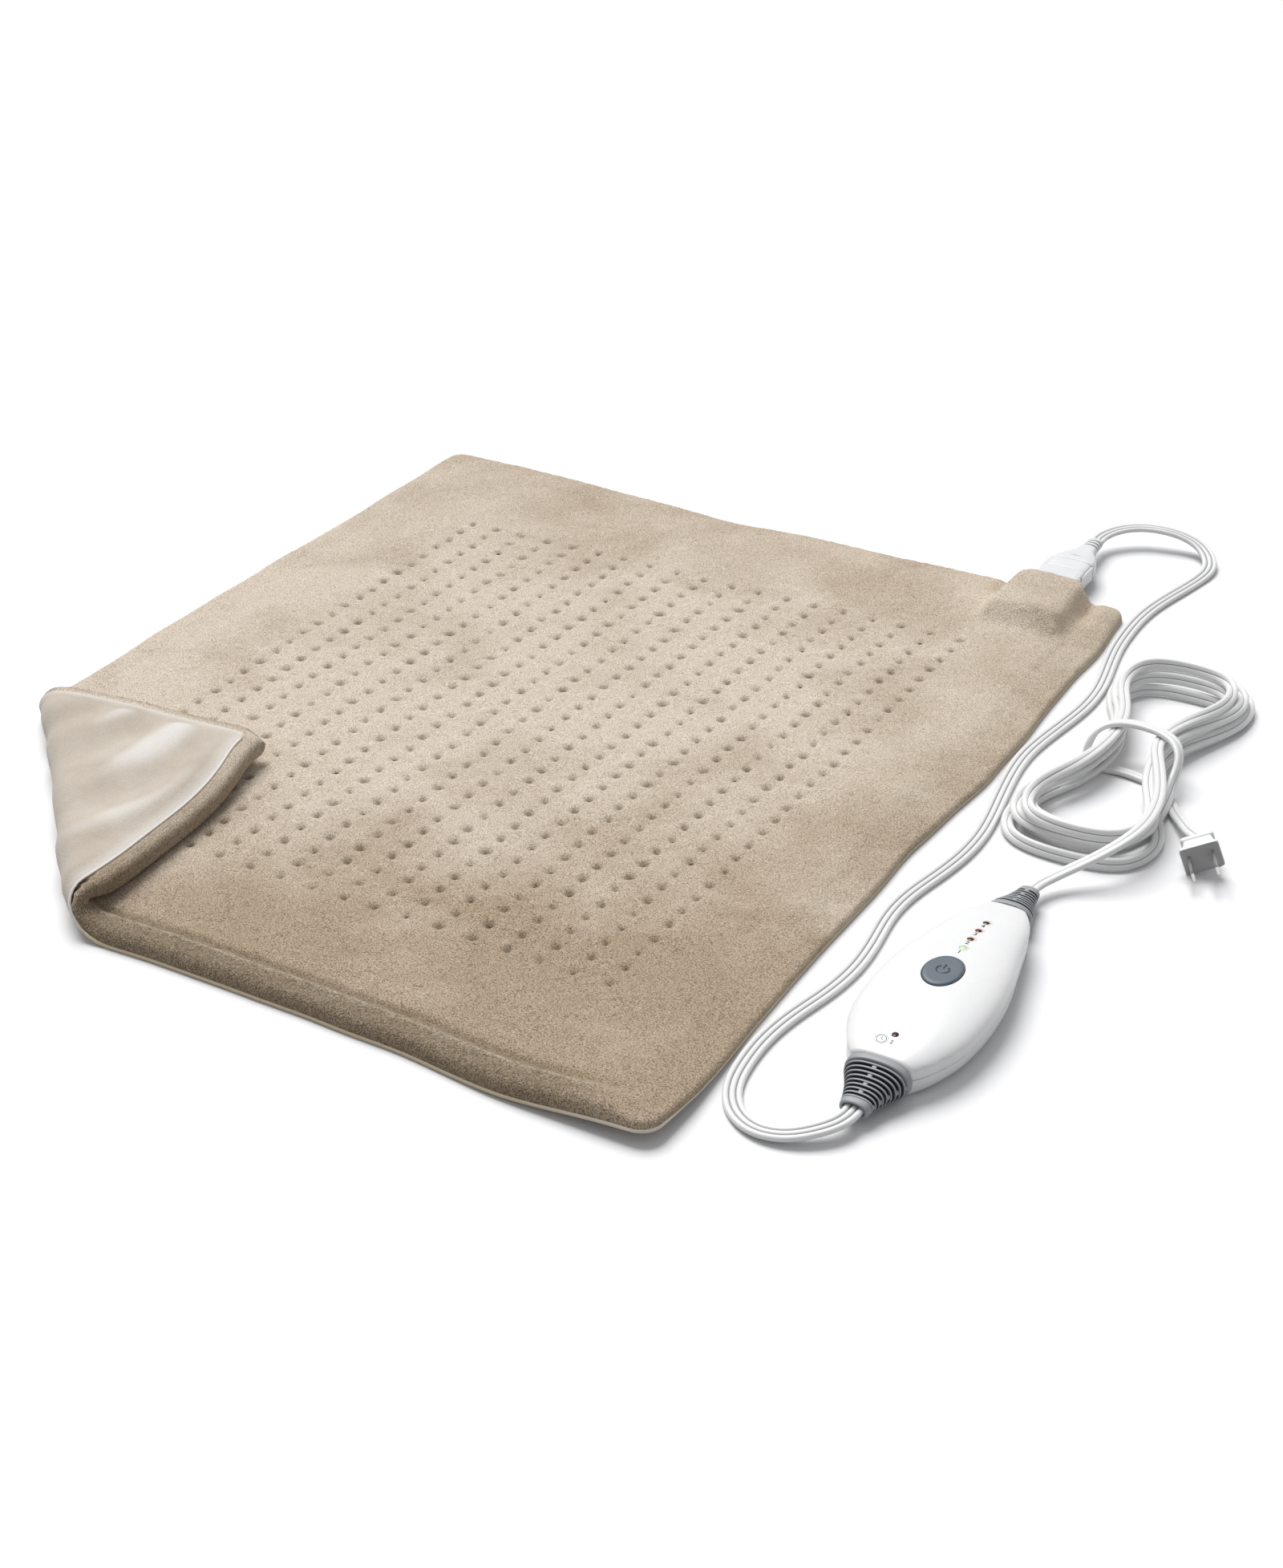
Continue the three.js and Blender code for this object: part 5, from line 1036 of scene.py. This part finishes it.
def half_shell(inset, upper):
    """Skin of one half of the housing, inset from the outside by a wall or not."""
    power = upper_power if upper else lower_power
    first = np.array([0, 0.0015, 0.005, 0.015, 0.04, 0.08, 0.12, 0.16, 0.18, 0.2, 0.215, 0.23, 0.245, 0.26,
                      0.29])
    turn = np.concatenate([first, np.linspace(0.34, math.pi - 0.34, 33), math.pi - first[::-1]])
    wide, tall = oval(turn, power)
    way = 1 if upper else -1
    half = housing_half_length - inset
    bend = np.linspace(0, math.pi / 2, 7)
    ends = half - end_radius * (1 - np.sin(bend))
    stations = np.concatenate([-ends[::-1], np.linspace(-ends[0], ends[0], 62)[1:-1], ends])
    rings = []
    for y in stations:
        near = np.clip((half - abs(y)) / end_radius, 0, 1)
        pulled = inset + end_radius * (1 - math.sqrt(1 - (1 - near) ** 2)) * (inset == 0)
        depth = (housing_top(y) - parting if upper else parting) - shell_gap - pulled
        height = depth * tall
        lip = (0.1 * np.exp(-height / 0.5) if upper else 1.75 + 0.25 * np.exp(-height / 0.5)) * (inset == 0)
        brow = 1.7 / (1 + np.exp((height - crease_rise) / 0.22)) * (upper and inset == 0)
        x = (housing_width(y) - pulled - lip - brow) * wide
        z = parting + way * (shell_gap + height)
        z[[0, -1]] -= way * inset
        rings.append(np.stack([controller_x + x, controller_y + y + 0 * x, z], 1))
    return lofted(rings)


# Glossy moulded ABS: bright white with a soft clear reflection and a faint orange-peel waviness. A painted
# pink glow rings each light's hole, as if the dark red lights shone through the plastic.
abs_white, tree, shader = new_material("glossy white ABS")
where = add(tree, "TexCoord", out="Object")
painted_glow = 0.0
for y in light_places.values():
    spot = ((controller_x + 0.5) * 0.001, (controller_y + y + 0.3) * 0.001, housing_top(y) * 0.001)
    away = add(tree, "VectorMath", {0: where, 1: spot}, operation="DISTANCE")
    ring = add(tree, "MapRange", {0: away, 1: 0.0034, 2: 0.0015, 4: 0.75}, interpolation_type="SMOOTHSTEP")
    painted_glow = add(tree, "Math", {0: painted_glow, 1: ring}, operation="MAXIMUM")
peel = add(tree, "TexNoise", {"Vector": where, "Scale": 160, "Detail": 2})
tint = add(tree, "Mix", {0: peel, 6: "#F3F3F3", 7: "#F8F8F7"}, data_type="RGBA")
tint = add(tree, "Mix", {0: painted_glow, 6: tint, 7: "#E9C9C2"}, data_type="RGBA")
waves = add(tree, "Bump", {"Height": peel, "Strength": 0.06, "Distance": 0.0004})
give(shader, {"Base Color": tint, "Normal": waves, "Roughness": 0.24, "IOR": 1.53, "Subsurface Weight": 0.08,
              "Subsurface Scale": 0.002})

screws = [(controller_x + x * housing_half_width, controller_y + y * housing_half_length)
          for x, y in screw_shares]
relief_axes = {-1: 10.4, 1: 9.4}
# Where the two reliefs' necks pass through the end walls: end, half width and half height
necks = [(-1, 11.3, 5.8), (1, 8.3, 5.05)]
mouths = []
for side, neck_wide, neck_tall in necks:
    axis = relief_axes[side]
    end = controller_y + side * housing_half_length
    span = sorted((end - side * (housing_wall + 1.5), end + side * 2))
    mouths.append(lofted([oval_ring(y, controller_x, axis, neck_wide, neck_tall, neck_power) for y in span]))

upper_shell = solid_piece("upper_shell", [half_shell(0, True)], abs_white)
cut(upper_shell, half_shell(housing_wall, True))
under_openings = parting + 1
over_openings = housing_height + 3
hole_width = button_width + 2 * button_gap
openings = [post(controller_x, controller_y + button_y, under_openings, over_openings, hole_width / 2,
                 (button_length + 2 * button_gap) / hole_width, 96)]
openings += [post(controller_x, controller_y + y, under_openings, over_openings, light_radius + light_gap)
             for y in light_places.values()]
cut(upper_shell, *openings, *mouths)
boss_base = parting + shell_gap
under_wall = housing_wall + 0.6
add_skins(upper_shell, *[
    tube(x, y, boss_base, housing_top(y - controller_y) - under_wall, upper_boss_radius, boss_bore)
    for x, y in screws])
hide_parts("top_shell")

lower_shell = solid_piece("lower_shell", [half_shell(0, False)], abs_white)
cut(lower_shell, half_shell(housing_wall, False))
cut(lower_shell, *mouths, *[post(x, y, -1, screw_recess, screw_head_radius) for x, y in screws])
add_skins(lower_shell, *[tube(x, y, 1, parting - shell_gap, boss_radius, boss_bore) for x, y in screws],
          *[tube(x, y, 0.8, screw_recess + 1.2, recess_wall, screw_head_radius) for x, y in screws])
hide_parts("bottom_shell")
for shell in (upper_shell, lower_shell):
    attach(shell, "lead")

# Inside the housing: a green board with its triac, fuse, capacitor, controller chip and the switch under the
# button, all held by four plated screws from below.
board_epoxy, tree, shader = new_material("green solder mask on glass epoxy")
# Glossy lacquer over copper tracks 1.3 mm apart, which show as paler lines
tracks = {"Vector": add(tree, "TexCoord", out="Object"), "Scale": 120, "Mortar Size": 0.04,
          "Color1": "#1E5B37", "Color2": "#236640", "Mortar": "#4C9A63"}
give(shader, {"Base Color": add(tree, "TexBrick", tracks), "Roughness": 0.3, "IOR": 1.55})
dress(board_epoxy, "circuit_board")
# Matt transfer-moulded epoxy, glazed fuse tube, film case and bright zinc plate, each with a faint mottle
for name, dark, light, scale, roughness, metallic, *nodes in (
    ("black moulded epoxy", "#17181A", "#2A2C2F", 900, 0.5, 0, "triac", "microcontroller", "tact_switch"),
    ("glazed alumina tube", "#DAD6CC", "#F0EDE6", 300, 0.25, 0, "fuse"),
    ("polyester film capacitor case", "#A88A2E", "#C4A548", 500, 0.35, 0, "capacitor"),
    ("zinc-plated steel", "#A9ADB0", "#D3D6D8", 600, 0.3, 1, *[f"housing_screw_{i}" for i in (1, 2, 3, 4)]),
):
    specks = (scale, 3)
    look = finish(name, dark, light, specks, (*specks, 0.15, 0.0001), Roughness=roughness, Metallic=metallic)
    dress(look, *nodes)

# Power button: a crowned oval cap in slate, with the standby sign pressed into it, a flange that stops it
# under the shell, and a plunger over the switch.
button_rise = 0.9
button_top = float(housing_top(button_y)) + button_rise
flange_top = button_top - 4.3
flange_base = flange_top - 1.2
plunger_end = 15.1
plunger_radius = 2.4
sign_radius = 3.1
sign_line = 0.42
sign_depth = 0.32
# Fine spark-eroded grain, satin, with painted shade darkening the pressed sign
slate = finish("slate grey soft-touch ABS", "#56626B", "#65717A", (90, 3), (1800, 2, 0.15, 0.0001),
               ("pressed", "#39444C"), Roughness=0.42, IOR=1.5)
turn = round_turns(144)
crown = [(share, 0) for share in np.linspace(0.03, 0.78, 44)]
crown += [(0.84, 0.03), (0.89, 0.09), (0.93, 0.2), (0.965, 0.4), (0.99, 0.7), (1, 1.05), (1, 2.2)]
profile = [(share, button_top - 0.12 * (1 - min(share / 0.8, 1)) ** 2 - down) for share, down in crown]
skirt_top = button_top - 2.6
plunger_share = 2 * plunger_radius / button_width
profile += [(1, flange_top), (1.15, flange_top), (1.15, flange_base), (0.81, flange_base), (0.81, skirt_top),
            (plunger_share, skirt_top), (plunger_share, plunger_end)]
rings = []
marks = []
for share, z in profile:
    ring_x = button_width / 2 * share * np.cos(turn)
    ring_y = button_length / 2 * share * np.sin(turn)
    circle = np.abs(np.hypot(ring_x, ring_y) - sign_radius)
    circle[(ring_y > 0) & (np.abs(ring_x) < 0.75 * ring_y)] = 9
    bar = np.where((ring_y > 0.6) & (ring_y < sign_radius + 1.2), np.abs(ring_x), 9)
    pressed = 1 - smooth((np.minimum(circle, bar) - sign_line * 0.6) / (sign_line * 0.8))
    pressed *= z > button_top - 0.5
    marks.append(pressed)
    around = [controller_x + ring_x, controller_y + button_y + ring_y]
    rings.append(np.stack([*around, z - sign_depth * pressed], 1))
button = solid_piece("button_cap", [lofted(rings)], slate, sharp=50)
mark(button, "pressed", np.concatenate(marks))
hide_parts("power_button")
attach(button, "button")

# Light pipes: five acrylic rods with domed ends that stand in the upper shell. Four are dark red or olive
# tinted, and the warm one is lit.
light_shades = {"high": ("#2B1114", "#5A2A2C"), "medium": ("#33150F", "#6A3B2E"),
                "low": ("#2E2410", "#675636"), "warm": ("#B9F7BE", "#8FEA9B"),
                "timer": ("#2A0F12", "#5C2C30")}
light_foot = 8.9
light_flange = 1.53
for name, y in light_places.items():
    tinted, tree, shader = new_material(f"{'lit green' if name == 'warm' else 'dark tinted'} acrylic, {name}")
    # Clear resin with a dark tint, deeper in the middle than at the rim. The lit one is pale where hottest.
    dark, light = light_shades[name]
    where = add(tree, "TexCoord", out="Object")
    middle = (controller_x * 0.001, (controller_y + y) * 0.001, float(housing_top(y)) * 0.001)
    away = add(tree, "VectorMath", {0: where, 1: middle}, operation="DISTANCE")
    rim_share = add(tree, "MapRange", {0: away, 1: 0.0004, 2: 0.0017})
    tint = add(tree, "Mix", {0: rim_share, 6: dark, 7: light}, data_type="RGBA")
    give(shader, {"Base Color": tint, "Roughness": 0.12, "IOR": 1.49})
    if name == "warm":
        give(shader, {"Emission Color": tint, "Emission Strength": 0.55})
    top = float(housing_top(y)) + 0.15
    dome = np.linspace(0.15, math.pi / 2, 8)
    profile = [(0.05, top)] + [(math.sin(a), top - 0.6 * (1 - math.cos(a))) for a in dome]
    profile += [(1, light_foot + 1.2), (light_flange, light_foot + 1.2), (light_flange, light_foot)]
    rings = [level_ring(controller_x, controller_y + y, z, light_radius * r, steps=32) for r, z in profile]
    lens = solid_piece(f"{name}_light", [lofted(rings)], tinted)
    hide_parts(f"{name}_indicator")
    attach(lens, "lead")

# Printed signs: plain digits beside the heat lights, and a clock face with a digit beside the timer's,
# pad-printed in dark grey ink on the upper shell.
ink_rise = 0.05
clock_x = -4.6
clock_y = -65.6
# Thin matt ink film with an uneven edge of cover
ink = finish("dark grey pad-printing ink", "#2F3336", "#62666A", (2600, 2), Roughness=0.55)


def on_housing(points):
    """Lays flat points, in millimetres from the controller's middle, on the upper shell."""
    half = housing_width(points[:, 1])
    depth = housing_top(points[:, 1]) - parting - shell_gap
    share = (1 - np.abs(points[:, 0] / half) ** upper_power) ** (1 / upper_power)
    z = parting + shell_gap + depth * share + ink_rise
    return np.stack([controller_x + points[:, 0], controller_y + points[:, 1], z], 1)


def printed_ring(x, y, radius, line, steps=40):
    flat = [level_ring(x, y, 0, r, steps=steps) for r in (radius - line / 2, radius + line / 2)]
    return on_housing(np.concatenate(flat)), lofted(flat)[1][:steps]


def printed_line(x0, y0, x1, y1, line):
    side = np.array([y0 - y1, x1 - x0]) / math.hypot(x1 - x0, y1 - y0) * line / 2
    start = np.array([x0, y0])
    end = np.array([x1, y1])
    return on_housing(np.array([start - side, start + side, end + side, end - side])), [(0, 1, 2, 3)]


def printed_text(words, x, y, size):
    curve = bpy.data.curves.new("digits", "FONT")
    curve.body = words
    curve.size = size
    curve.offset = 0.07
    curve.align_x = "CENTER"
    writing = stand("digits", curve)
    bpy.context.view_layer.update()
    mesh = writing.to_mesh()
    flat = np.array([[v.co.x + x, v.co.y + y] for v in mesh.vertices])
    faces = [tuple(face.vertices) for face in mesh.polygons]
    writing.to_mesh_clear()
    bpy.data.objects.remove(writing)
    return on_housing(flat), faces


signs = [printed_text(digit, 0, light_places[name] - 5.4, 4.1) for name, digit in
         (("high", "4"), ("medium", "3"), ("low", "2"), ("warm", "1"))]
signs += [
    printed_ring(clock_x, clock_y, 2.3, 0.36), printed_ring(clock_x, clock_y, 3.1, 0.22),
    printed_line(clock_x, clock_y, clock_x, clock_y + 1.5, 0.34),
    printed_line(clock_x, clock_y, clock_x + 1.1, clock_y - 0.7, 0.34),
    printed_text("2", 0.6, -66.9, 3.4),
]
print_piece = mesh_piece("printed_signs", *joined(signs), ink, smooth_faces=False)
shape = bmesh.new()
shape.from_mesh(print_piece.data)
for face in shape.faces:
    face.normal_update()
bmesh.ops.reverse_faces(shape, faces=[face for face in shape.faces if face.normal.z < 0])
shape.to_mesh(print_piece.data)
shape.free()
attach(print_piece, "lead")

# Strain reliefs: soft grey rubber moulded over the cords at both ends of the controller. Rows of slots go
# round a core, painted near black as shade, between the ribs. Every second row has a bridge on its centre
# line, the others one on each side.
relief_grip = 3.6
relief_tip_ring = 3.5
bridge_width = 2.6
bridge_share = 0.975
core_share = 0.86
taper_shares = [(0, 1), (0.13, 0.98), (0.3, 0.72), (0.5, 0.42), (0.75, 0.16), (1, 0)]
# Satin rubber: soft highlights, a fine moulded grain, and painted shade on the ribs' side walls
grey_rubber = finish("grey thermoplastic rubber", "#989C9E", "#A7AAAC", (120, 3), (1400, 2, 0.12, 0.0001),
                     ("slot_wall", "#26292C"), Roughness=0.48, IOR=1.5)
# The same rubber deep in the slots, painted near black as shade, since no light gets in
shade_painted_rubber = finish("shaded grey rubber core", "#0E1012", "#1D2023", (900, 3), Roughness=0.7)


def slotted_relief(name, node, side, length, drop, rows, slot_share, collar, tip, neck):
    """One relief. side is -1 at the controller's lower end and 1 at its upper end."""
    axis = relief_axes[side]
    end = controller_y + side * housing_half_length
    body = length - 0.3
    pitch = (body - relief_grip - relief_tip_ring) / rows

    def section(distance):
        along = distance / body
        share = np.interp(along, *np.array(taper_shares).T)
        half = (tip[0] + (collar[0] - tip[0]) * share) / 2
        tall = (tip[1] + (collar[1] - tip[1]) * share) / 2
        return end + side * (0.3 + distance), axis - drop * along, half, tall

    def ring(distance, scale, steps=64):
        y, z, half, tall = section(distance)
        return oval_ring(y, controller_x, z, half * scale, tall * scale, relief_power, steps)

    core = [ring(d, core_share) for d in np.linspace(0.5, body - relief_tip_ring + 0.5, 16)]
    core_piece = solid_piece(f"{name}_core", [lofted(core)], shade_painted_rubber)
    grip = relief_grip
    collar_shape = ((0, 0.985), (0.25, 1), (grip - 0.5, 1), (grip - 0.15, 0.985), (grip, 0.955))
    tip_shape = ((-relief_tip_ring, 0.96), (0.3 - relief_tip_ring, 1), (-0.4, 1), (-0.1, 0.97), (0, 0.93),
                 (0, 0.82), (-0.4, 0.78), (-2, 0.74))
    skins = [lofted([ring(d, s) for d, s in collar_shape]), lofted([ring(body + d, s) for d, s in tip_shape])]
    for rise, span in ((0, (-0.5, 2.3)), (1.8, (2.6, 4.4))):
        half, tall = neck[0] / 2 + rise, neck[1] / 2 + rise
        skins.append(lofted([oval_ring(end - side * d, controller_x, axis, half, tall, neck_power)
                             for d in span]))
    for row in range(rows):
        bridge = []
        for distance in (grip + pitch * row - 0.2, grip + pitch * (row + slot_share) + 0.2):
            y, z, half, tall = section(distance)
            size = [bridge_width / 2, tall * bridge_share]
            if row % 2 == 0:
                size = [half * bridge_share, bridge_width / 2]
            bridge.append(oval_ring(y, controller_x, z, *size, 8, 24))
        skins.append(lofted(bridge))
    frame_piece = solid_piece(name, skins, grey_rubber, sharp=40)
    places = [section(relief_grip + pitch * (row + slot_share + (1 - slot_share) / 2)) for row in range(rows)]
    ribs = grow_ribs(f"{name}_ribs", grey_rubber, pitch * (1 - slot_share),
                     [(controller_x, *spot) for spot in places])
    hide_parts(node)
    for piece in (frame_piece, core_piece, ribs):
        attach(piece, "lead")


slotted_relief("lower_slotted_relief", "lower_strain_relief", -1, 28, 2.4, 9, 0.5,
               (33, 19.6), (14, 8.4), (22, 11))
slotted_relief("upper_slotted_relief", "upper_strain_relief", 1, 30, 1.4, 8, 0.64,
               (24.5, 16.6), (11, 7.6), (16, 9.5))
bpy.data.objects.remove(rib_shape)

# Mains cord: a flat two-core cord in white PVC. It climbs onto its own hank, runs five times round it, ties
# the hank's waist with a loop of itself and goes on to the plug. The hank leans towards the table's front.
mains_width = 7.0
mains_thickness = 3.3
hank_middle_y = 122
climb = [
    (327.5, -41.6, 8), (327.5, -36.4, 8), (332, -22, 8.6), (341, -10, 12), (350, 0, 16.5),
    (357.5, 12, 20.3), (362, 30, 22), (361.5, 48, 21.8), (357, 70, 21), (350, 90, 20.3), (343, 107, 19.9),
]
hank = [
    (337.9, 122, 19.7), (345, 161.4, 19.4), (354.3, 195.4, 18), (348.3, 216.3, 17.8), (323, 224.7, 17.8),
    (298.1, 216.5, 17.9), (293, 195.8, 17.7), (304, 161.8, 18.3), (311.8, 122, 19.5), (304.3, 81.7, 18),
    (294.3, 46.9, 17.1), (300.8, 25, 17), (327, 16.3, 17), (352.8, 24.7, 16.7), (358.7, 46, 16.2),
    (347.4, 80.9, 15.5), (339.3, 122, 15.9), (348.2, 163.5, 14.1), (359.9, 199.9, 11.9),
    (353.2, 222.6, 11.1), (324, 231.7, 10.8), (294.9, 222.5, 10.8), (288.3, 199.3, 9.8),
    (300.7, 163.5, 14.4), (309.9, 122, 15.8), (301.2, 81.6, 14.4), (287.6, 47.8, 10.8), (293.9, 27.5, 10.6),
    (323, 19.2, 10.6), (352.3, 27.9, 10.7), (359.4, 48.9, 11.7), (347.1, 83, 11.8), (339, 122, 12.2),
    (345.5, 160.6, 11), (355.1, 193.2, 10.5), (349.3, 212.7, 10.8), (324, 220.7, 11), (299, 212.4, 11),
    (293.5, 192.3, 11.8), (303.8, 159.3, 10.9), (311.3, 122, 12.1), (303.1, 85.7, 10.6),
    (293.2, 53.8, 11.6), (298.5, 35.9, 11.2), (326, 28.4, 10.5), (352.8, 35.8, 9.7), (358.6, 52.4, 7.9),
    (348.7, 83.2, 8.1), (340.5, 121.9, 8.5), (351.4, 163.3, 6.4), (363.2, 202.5, 5.1), (355.4, 228.4, 4.2),
    (323, 238.8, 4), (290.9, 229.1, 4), (284, 204.7, 3.1), (298.1, 166.4, 6.4), (308.1, 122, 8.5),
    (297.1, 78.5, 4.6), (285.2, 41.2, 3.8), (293.4, 18.3, 3.9), (327, 9.2, 4), (359.6, 19.2, 4),
    (366, 43.6, 3.8), (350.8, 81, 4.3), (340.5, 122.1, 4.8), (348.1, 160.8, 3.5), (358.2, 192.2, 3.8),
    (352.1, 209.7, 3.8), (325, 216.8, 4), (297.9, 208.8, 4), (292.1, 190.3, 3.9), (302.9, 158.5, 3.6),
    (310.9, 122, 4.9), (302.3, 85.6, 3.2), (291.9, 52.6, 4.5), (296.6, 33.5, 4.2), (324.1, 25.1, 4),
    (347, 33, 3.8), (355.5, 52, 3.6), (357, 72, 4.2),
]
# Point, then the way that the flat side looks
tie = [
    (356, 90, 7, 0.6, 0, 0.8), (354, 104, 11.5, 0.9, 0, 0.4), (352.5, 115, 17.5, 0.9, 0, 0.4),
    (346, 125, 22.3, 0.3, 0, 1), (336, 130.5, 23.2, 0, 0, 1), (324, 132.5, 23.2, 0, 0, 1),
    (312, 130, 22.9, -0.2, 0, 1), (303.5, 123.5, 20.3, -0.8, 0, 0.8), (300, 117.5, 14, -1, 0, 0.1),
    (299.8, 114.5, 7.6, -1, 0, -0.1), (304.5, 113, 3.0, -0.4, 0, -1), (318, 113.5, 2.1, 0, 0, -1),
    (334, 112, 1.9, 0, 0, -1), (346, 107, 1.9, 0, 0, -1), (354, 98, 2.0, 0, 0, -1), (360, 88, 2.4, 0, 0, -1),
    (366.5, 78, 3.6, 0.1, 0.05, -1), (373, 68.5, 5.8, 0.3, 0.15, -0.9), (380, 59, 8.3, 0.45, 0.22, -0.85),
]
plug_turn = (Matrix.Translation((394.6, 32.4, 10.8)) @ Matrix.Rotation(math.radians(-66), 4, "Z")
             @ Matrix.Rotation(math.radians(-3), 4, "Y") @ Matrix.Rotation(math.radians(21.5), 4, "X"))
plug_depth = 16
plug_up = plug_turn.to_3x3() @ Vector((0, 0, 1))
mains_points = [(*p, 0, 0, 1) for p in climb]
for x, y, z in hank:
    lean = smooth((abs(y - hank_middle_y) - 14) / 46)
    mains_points.append((x, y, z, 0.3 * lean, -0.8 * lean, 1 - 0.6 * lean))
mains_points += tie
for back in (plug_depth + 7, plug_depth - 2):
    mains_points.append((*(plug_turn @ Vector((-back, 0, 0))), *(-plug_up)))
mains_route = through(mains_points, cord_step)
half = mains_width / 2
rim = mains_thickness / 2
mains_section = []
for i in range(7):
    turn = math.pi - math.pi / 2 * i / 6
    mains_section.append((-half + rim + rim * math.cos(turn), rim * math.sin(turn)))
mains_section += [(-0.9, rim), (-0.42, rim - 0.06), (0, rim - 0.55)]
mains_section += [(-x, y) for x, y in reversed(mains_section[:-1])]
mains_section = np.array(mains_section + [(x, -y) for x, y in reversed(mains_section[1:-1])])[::-1]
mains, mains_run = swept_cord("mains_cord", mains_route[:, :3], mains_route[:, 3:], mains_section, cord_pvc)
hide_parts("mains_stretch", "mains_hank", "mains_tail")
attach(mains, "lead")

# Plug: a white PVC body moulded over the mains cord, with a square flange behind the face, a slim grip with a
# ridge at its back, and two nickel-plated brass blades 12.7 mm apart.
plug_width = 21.0
plug_height = 16.0
plug_power = 12
blade_length = 17.0
blade_width = 6.35
blade_thickness = 1.5
blade_spacing = 12.7
blade_seat = 6.0
blade_hole = 1.6
plug_shape = [
    (0, 0.955, 0.94), (0.012, 0.985, 0.98), (0.035, 1, 1), (0.13, 1, 1), (0.15, 0.985, 0.98),
    (0.165, 0.93, 0.92), (0.18, 0.87, 0.87), (0.3, 0.84, 0.84), (0.5, 0.785, 0.79), (0.71, 0.73, 0.745),
    (0.74, 0.75, 0.76), (0.765, 0.83, 0.83), (0.79, 0.85, 0.85), (0.91, 0.85, 0.85), (0.945, 0.83, 0.83),
    (0.985, 0.78, 0.77), (1, 0.7, 0.68),
]
plug_steps = 96


def plug_solid(name, rings, material):
    """A piece made in the plug's own frame, x forward along the blades, and turned to where the plug lies."""
    points, faces = lofted(rings)
    placed = [tuple(plug_turn @ Vector(point)) for point in points.tolist()]
    return solid_piece(name, [(placed, faces)], material)


plug_rings = []
for back, wide, tall in plug_shape:
    ring = oval_ring(0, 0, 0, plug_width / 2 * wide, plug_height / 2 * tall, plug_power, plug_steps)
    plug_rings.append(np.stack([0 * ring[:, 0] - back * plug_depth, ring[:, 0], ring[:, 2]], 1))
plug = plug_solid("plug_moulding", plug_rings, cord_pvc)
# The face is painted darker than the polished sides, as shade
mark(plug, "groove", np.repeat([0.85] + [0] * (len(plug_shape) - 1), plug_steps))
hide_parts("plug_body")
# Bright plate with fine rolling marks along the blade
rolled = ((200, 5000, 5000), 2)
nickel = finish("nickel-plated brass", "#BDBBB6", "#DEDDDA", rolled, (*rolled, 0.08, 0.0001),
                slant=math.radians(66), Metallic=1, Roughness=0.2)
# The punched holes' walls, painted near black as shade
hole_specks = (900, 3)
painted_hole_shade = finish("punched brass painted dark as shade", "#0B0A09", "#1B1815", hole_specks, (*hole_specks, 0.15, 0.0001), Roughness=0.6)
tip_cut = blade_width / 6
blade_half = [(-blade_seat, -blade_width / 2), (blade_length - tip_cut, -blade_width / 2),
              (blade_length, tip_cut - blade_width / 2)]
blade_outline = np.array(blade_half + [(x, -z) for x, z in reversed(blade_half)])
hole_back = 4.7
blades = []
for name, side in (("left", 1), ("right", -1)):
    blade_y = side * blade_spacing / 2
    rings = []
    for across, inset in ((-0.5, 0.15), (-0.4, 0), (0.4, 0), (0.5, 0.15)):
        along, up = (blade_outline * (1 - inset * np.array([0.08, 0.3]))).T
        rings.append(np.stack([along, 0 * along + blade_y + across * blade_thickness, up], 1))
    blade = plug_solid(f"{name}_blade", rings, nickel)
    turn = round_turns(24)
    drill = [[plug_turn @ Vector((blade_length - hole_back + blade_hole * math.cos(a), blade_y + across,
                                  blade_hole * math.sin(a))) for a in turn] for across in (-2, 2)]
    cut(blade, lofted(drill), lining=painted_hole_shade)
    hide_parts(f"plug_blade_{name}")
    blades.append(blade)
for piece in [plug] + blades:
    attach(piece, "lead")
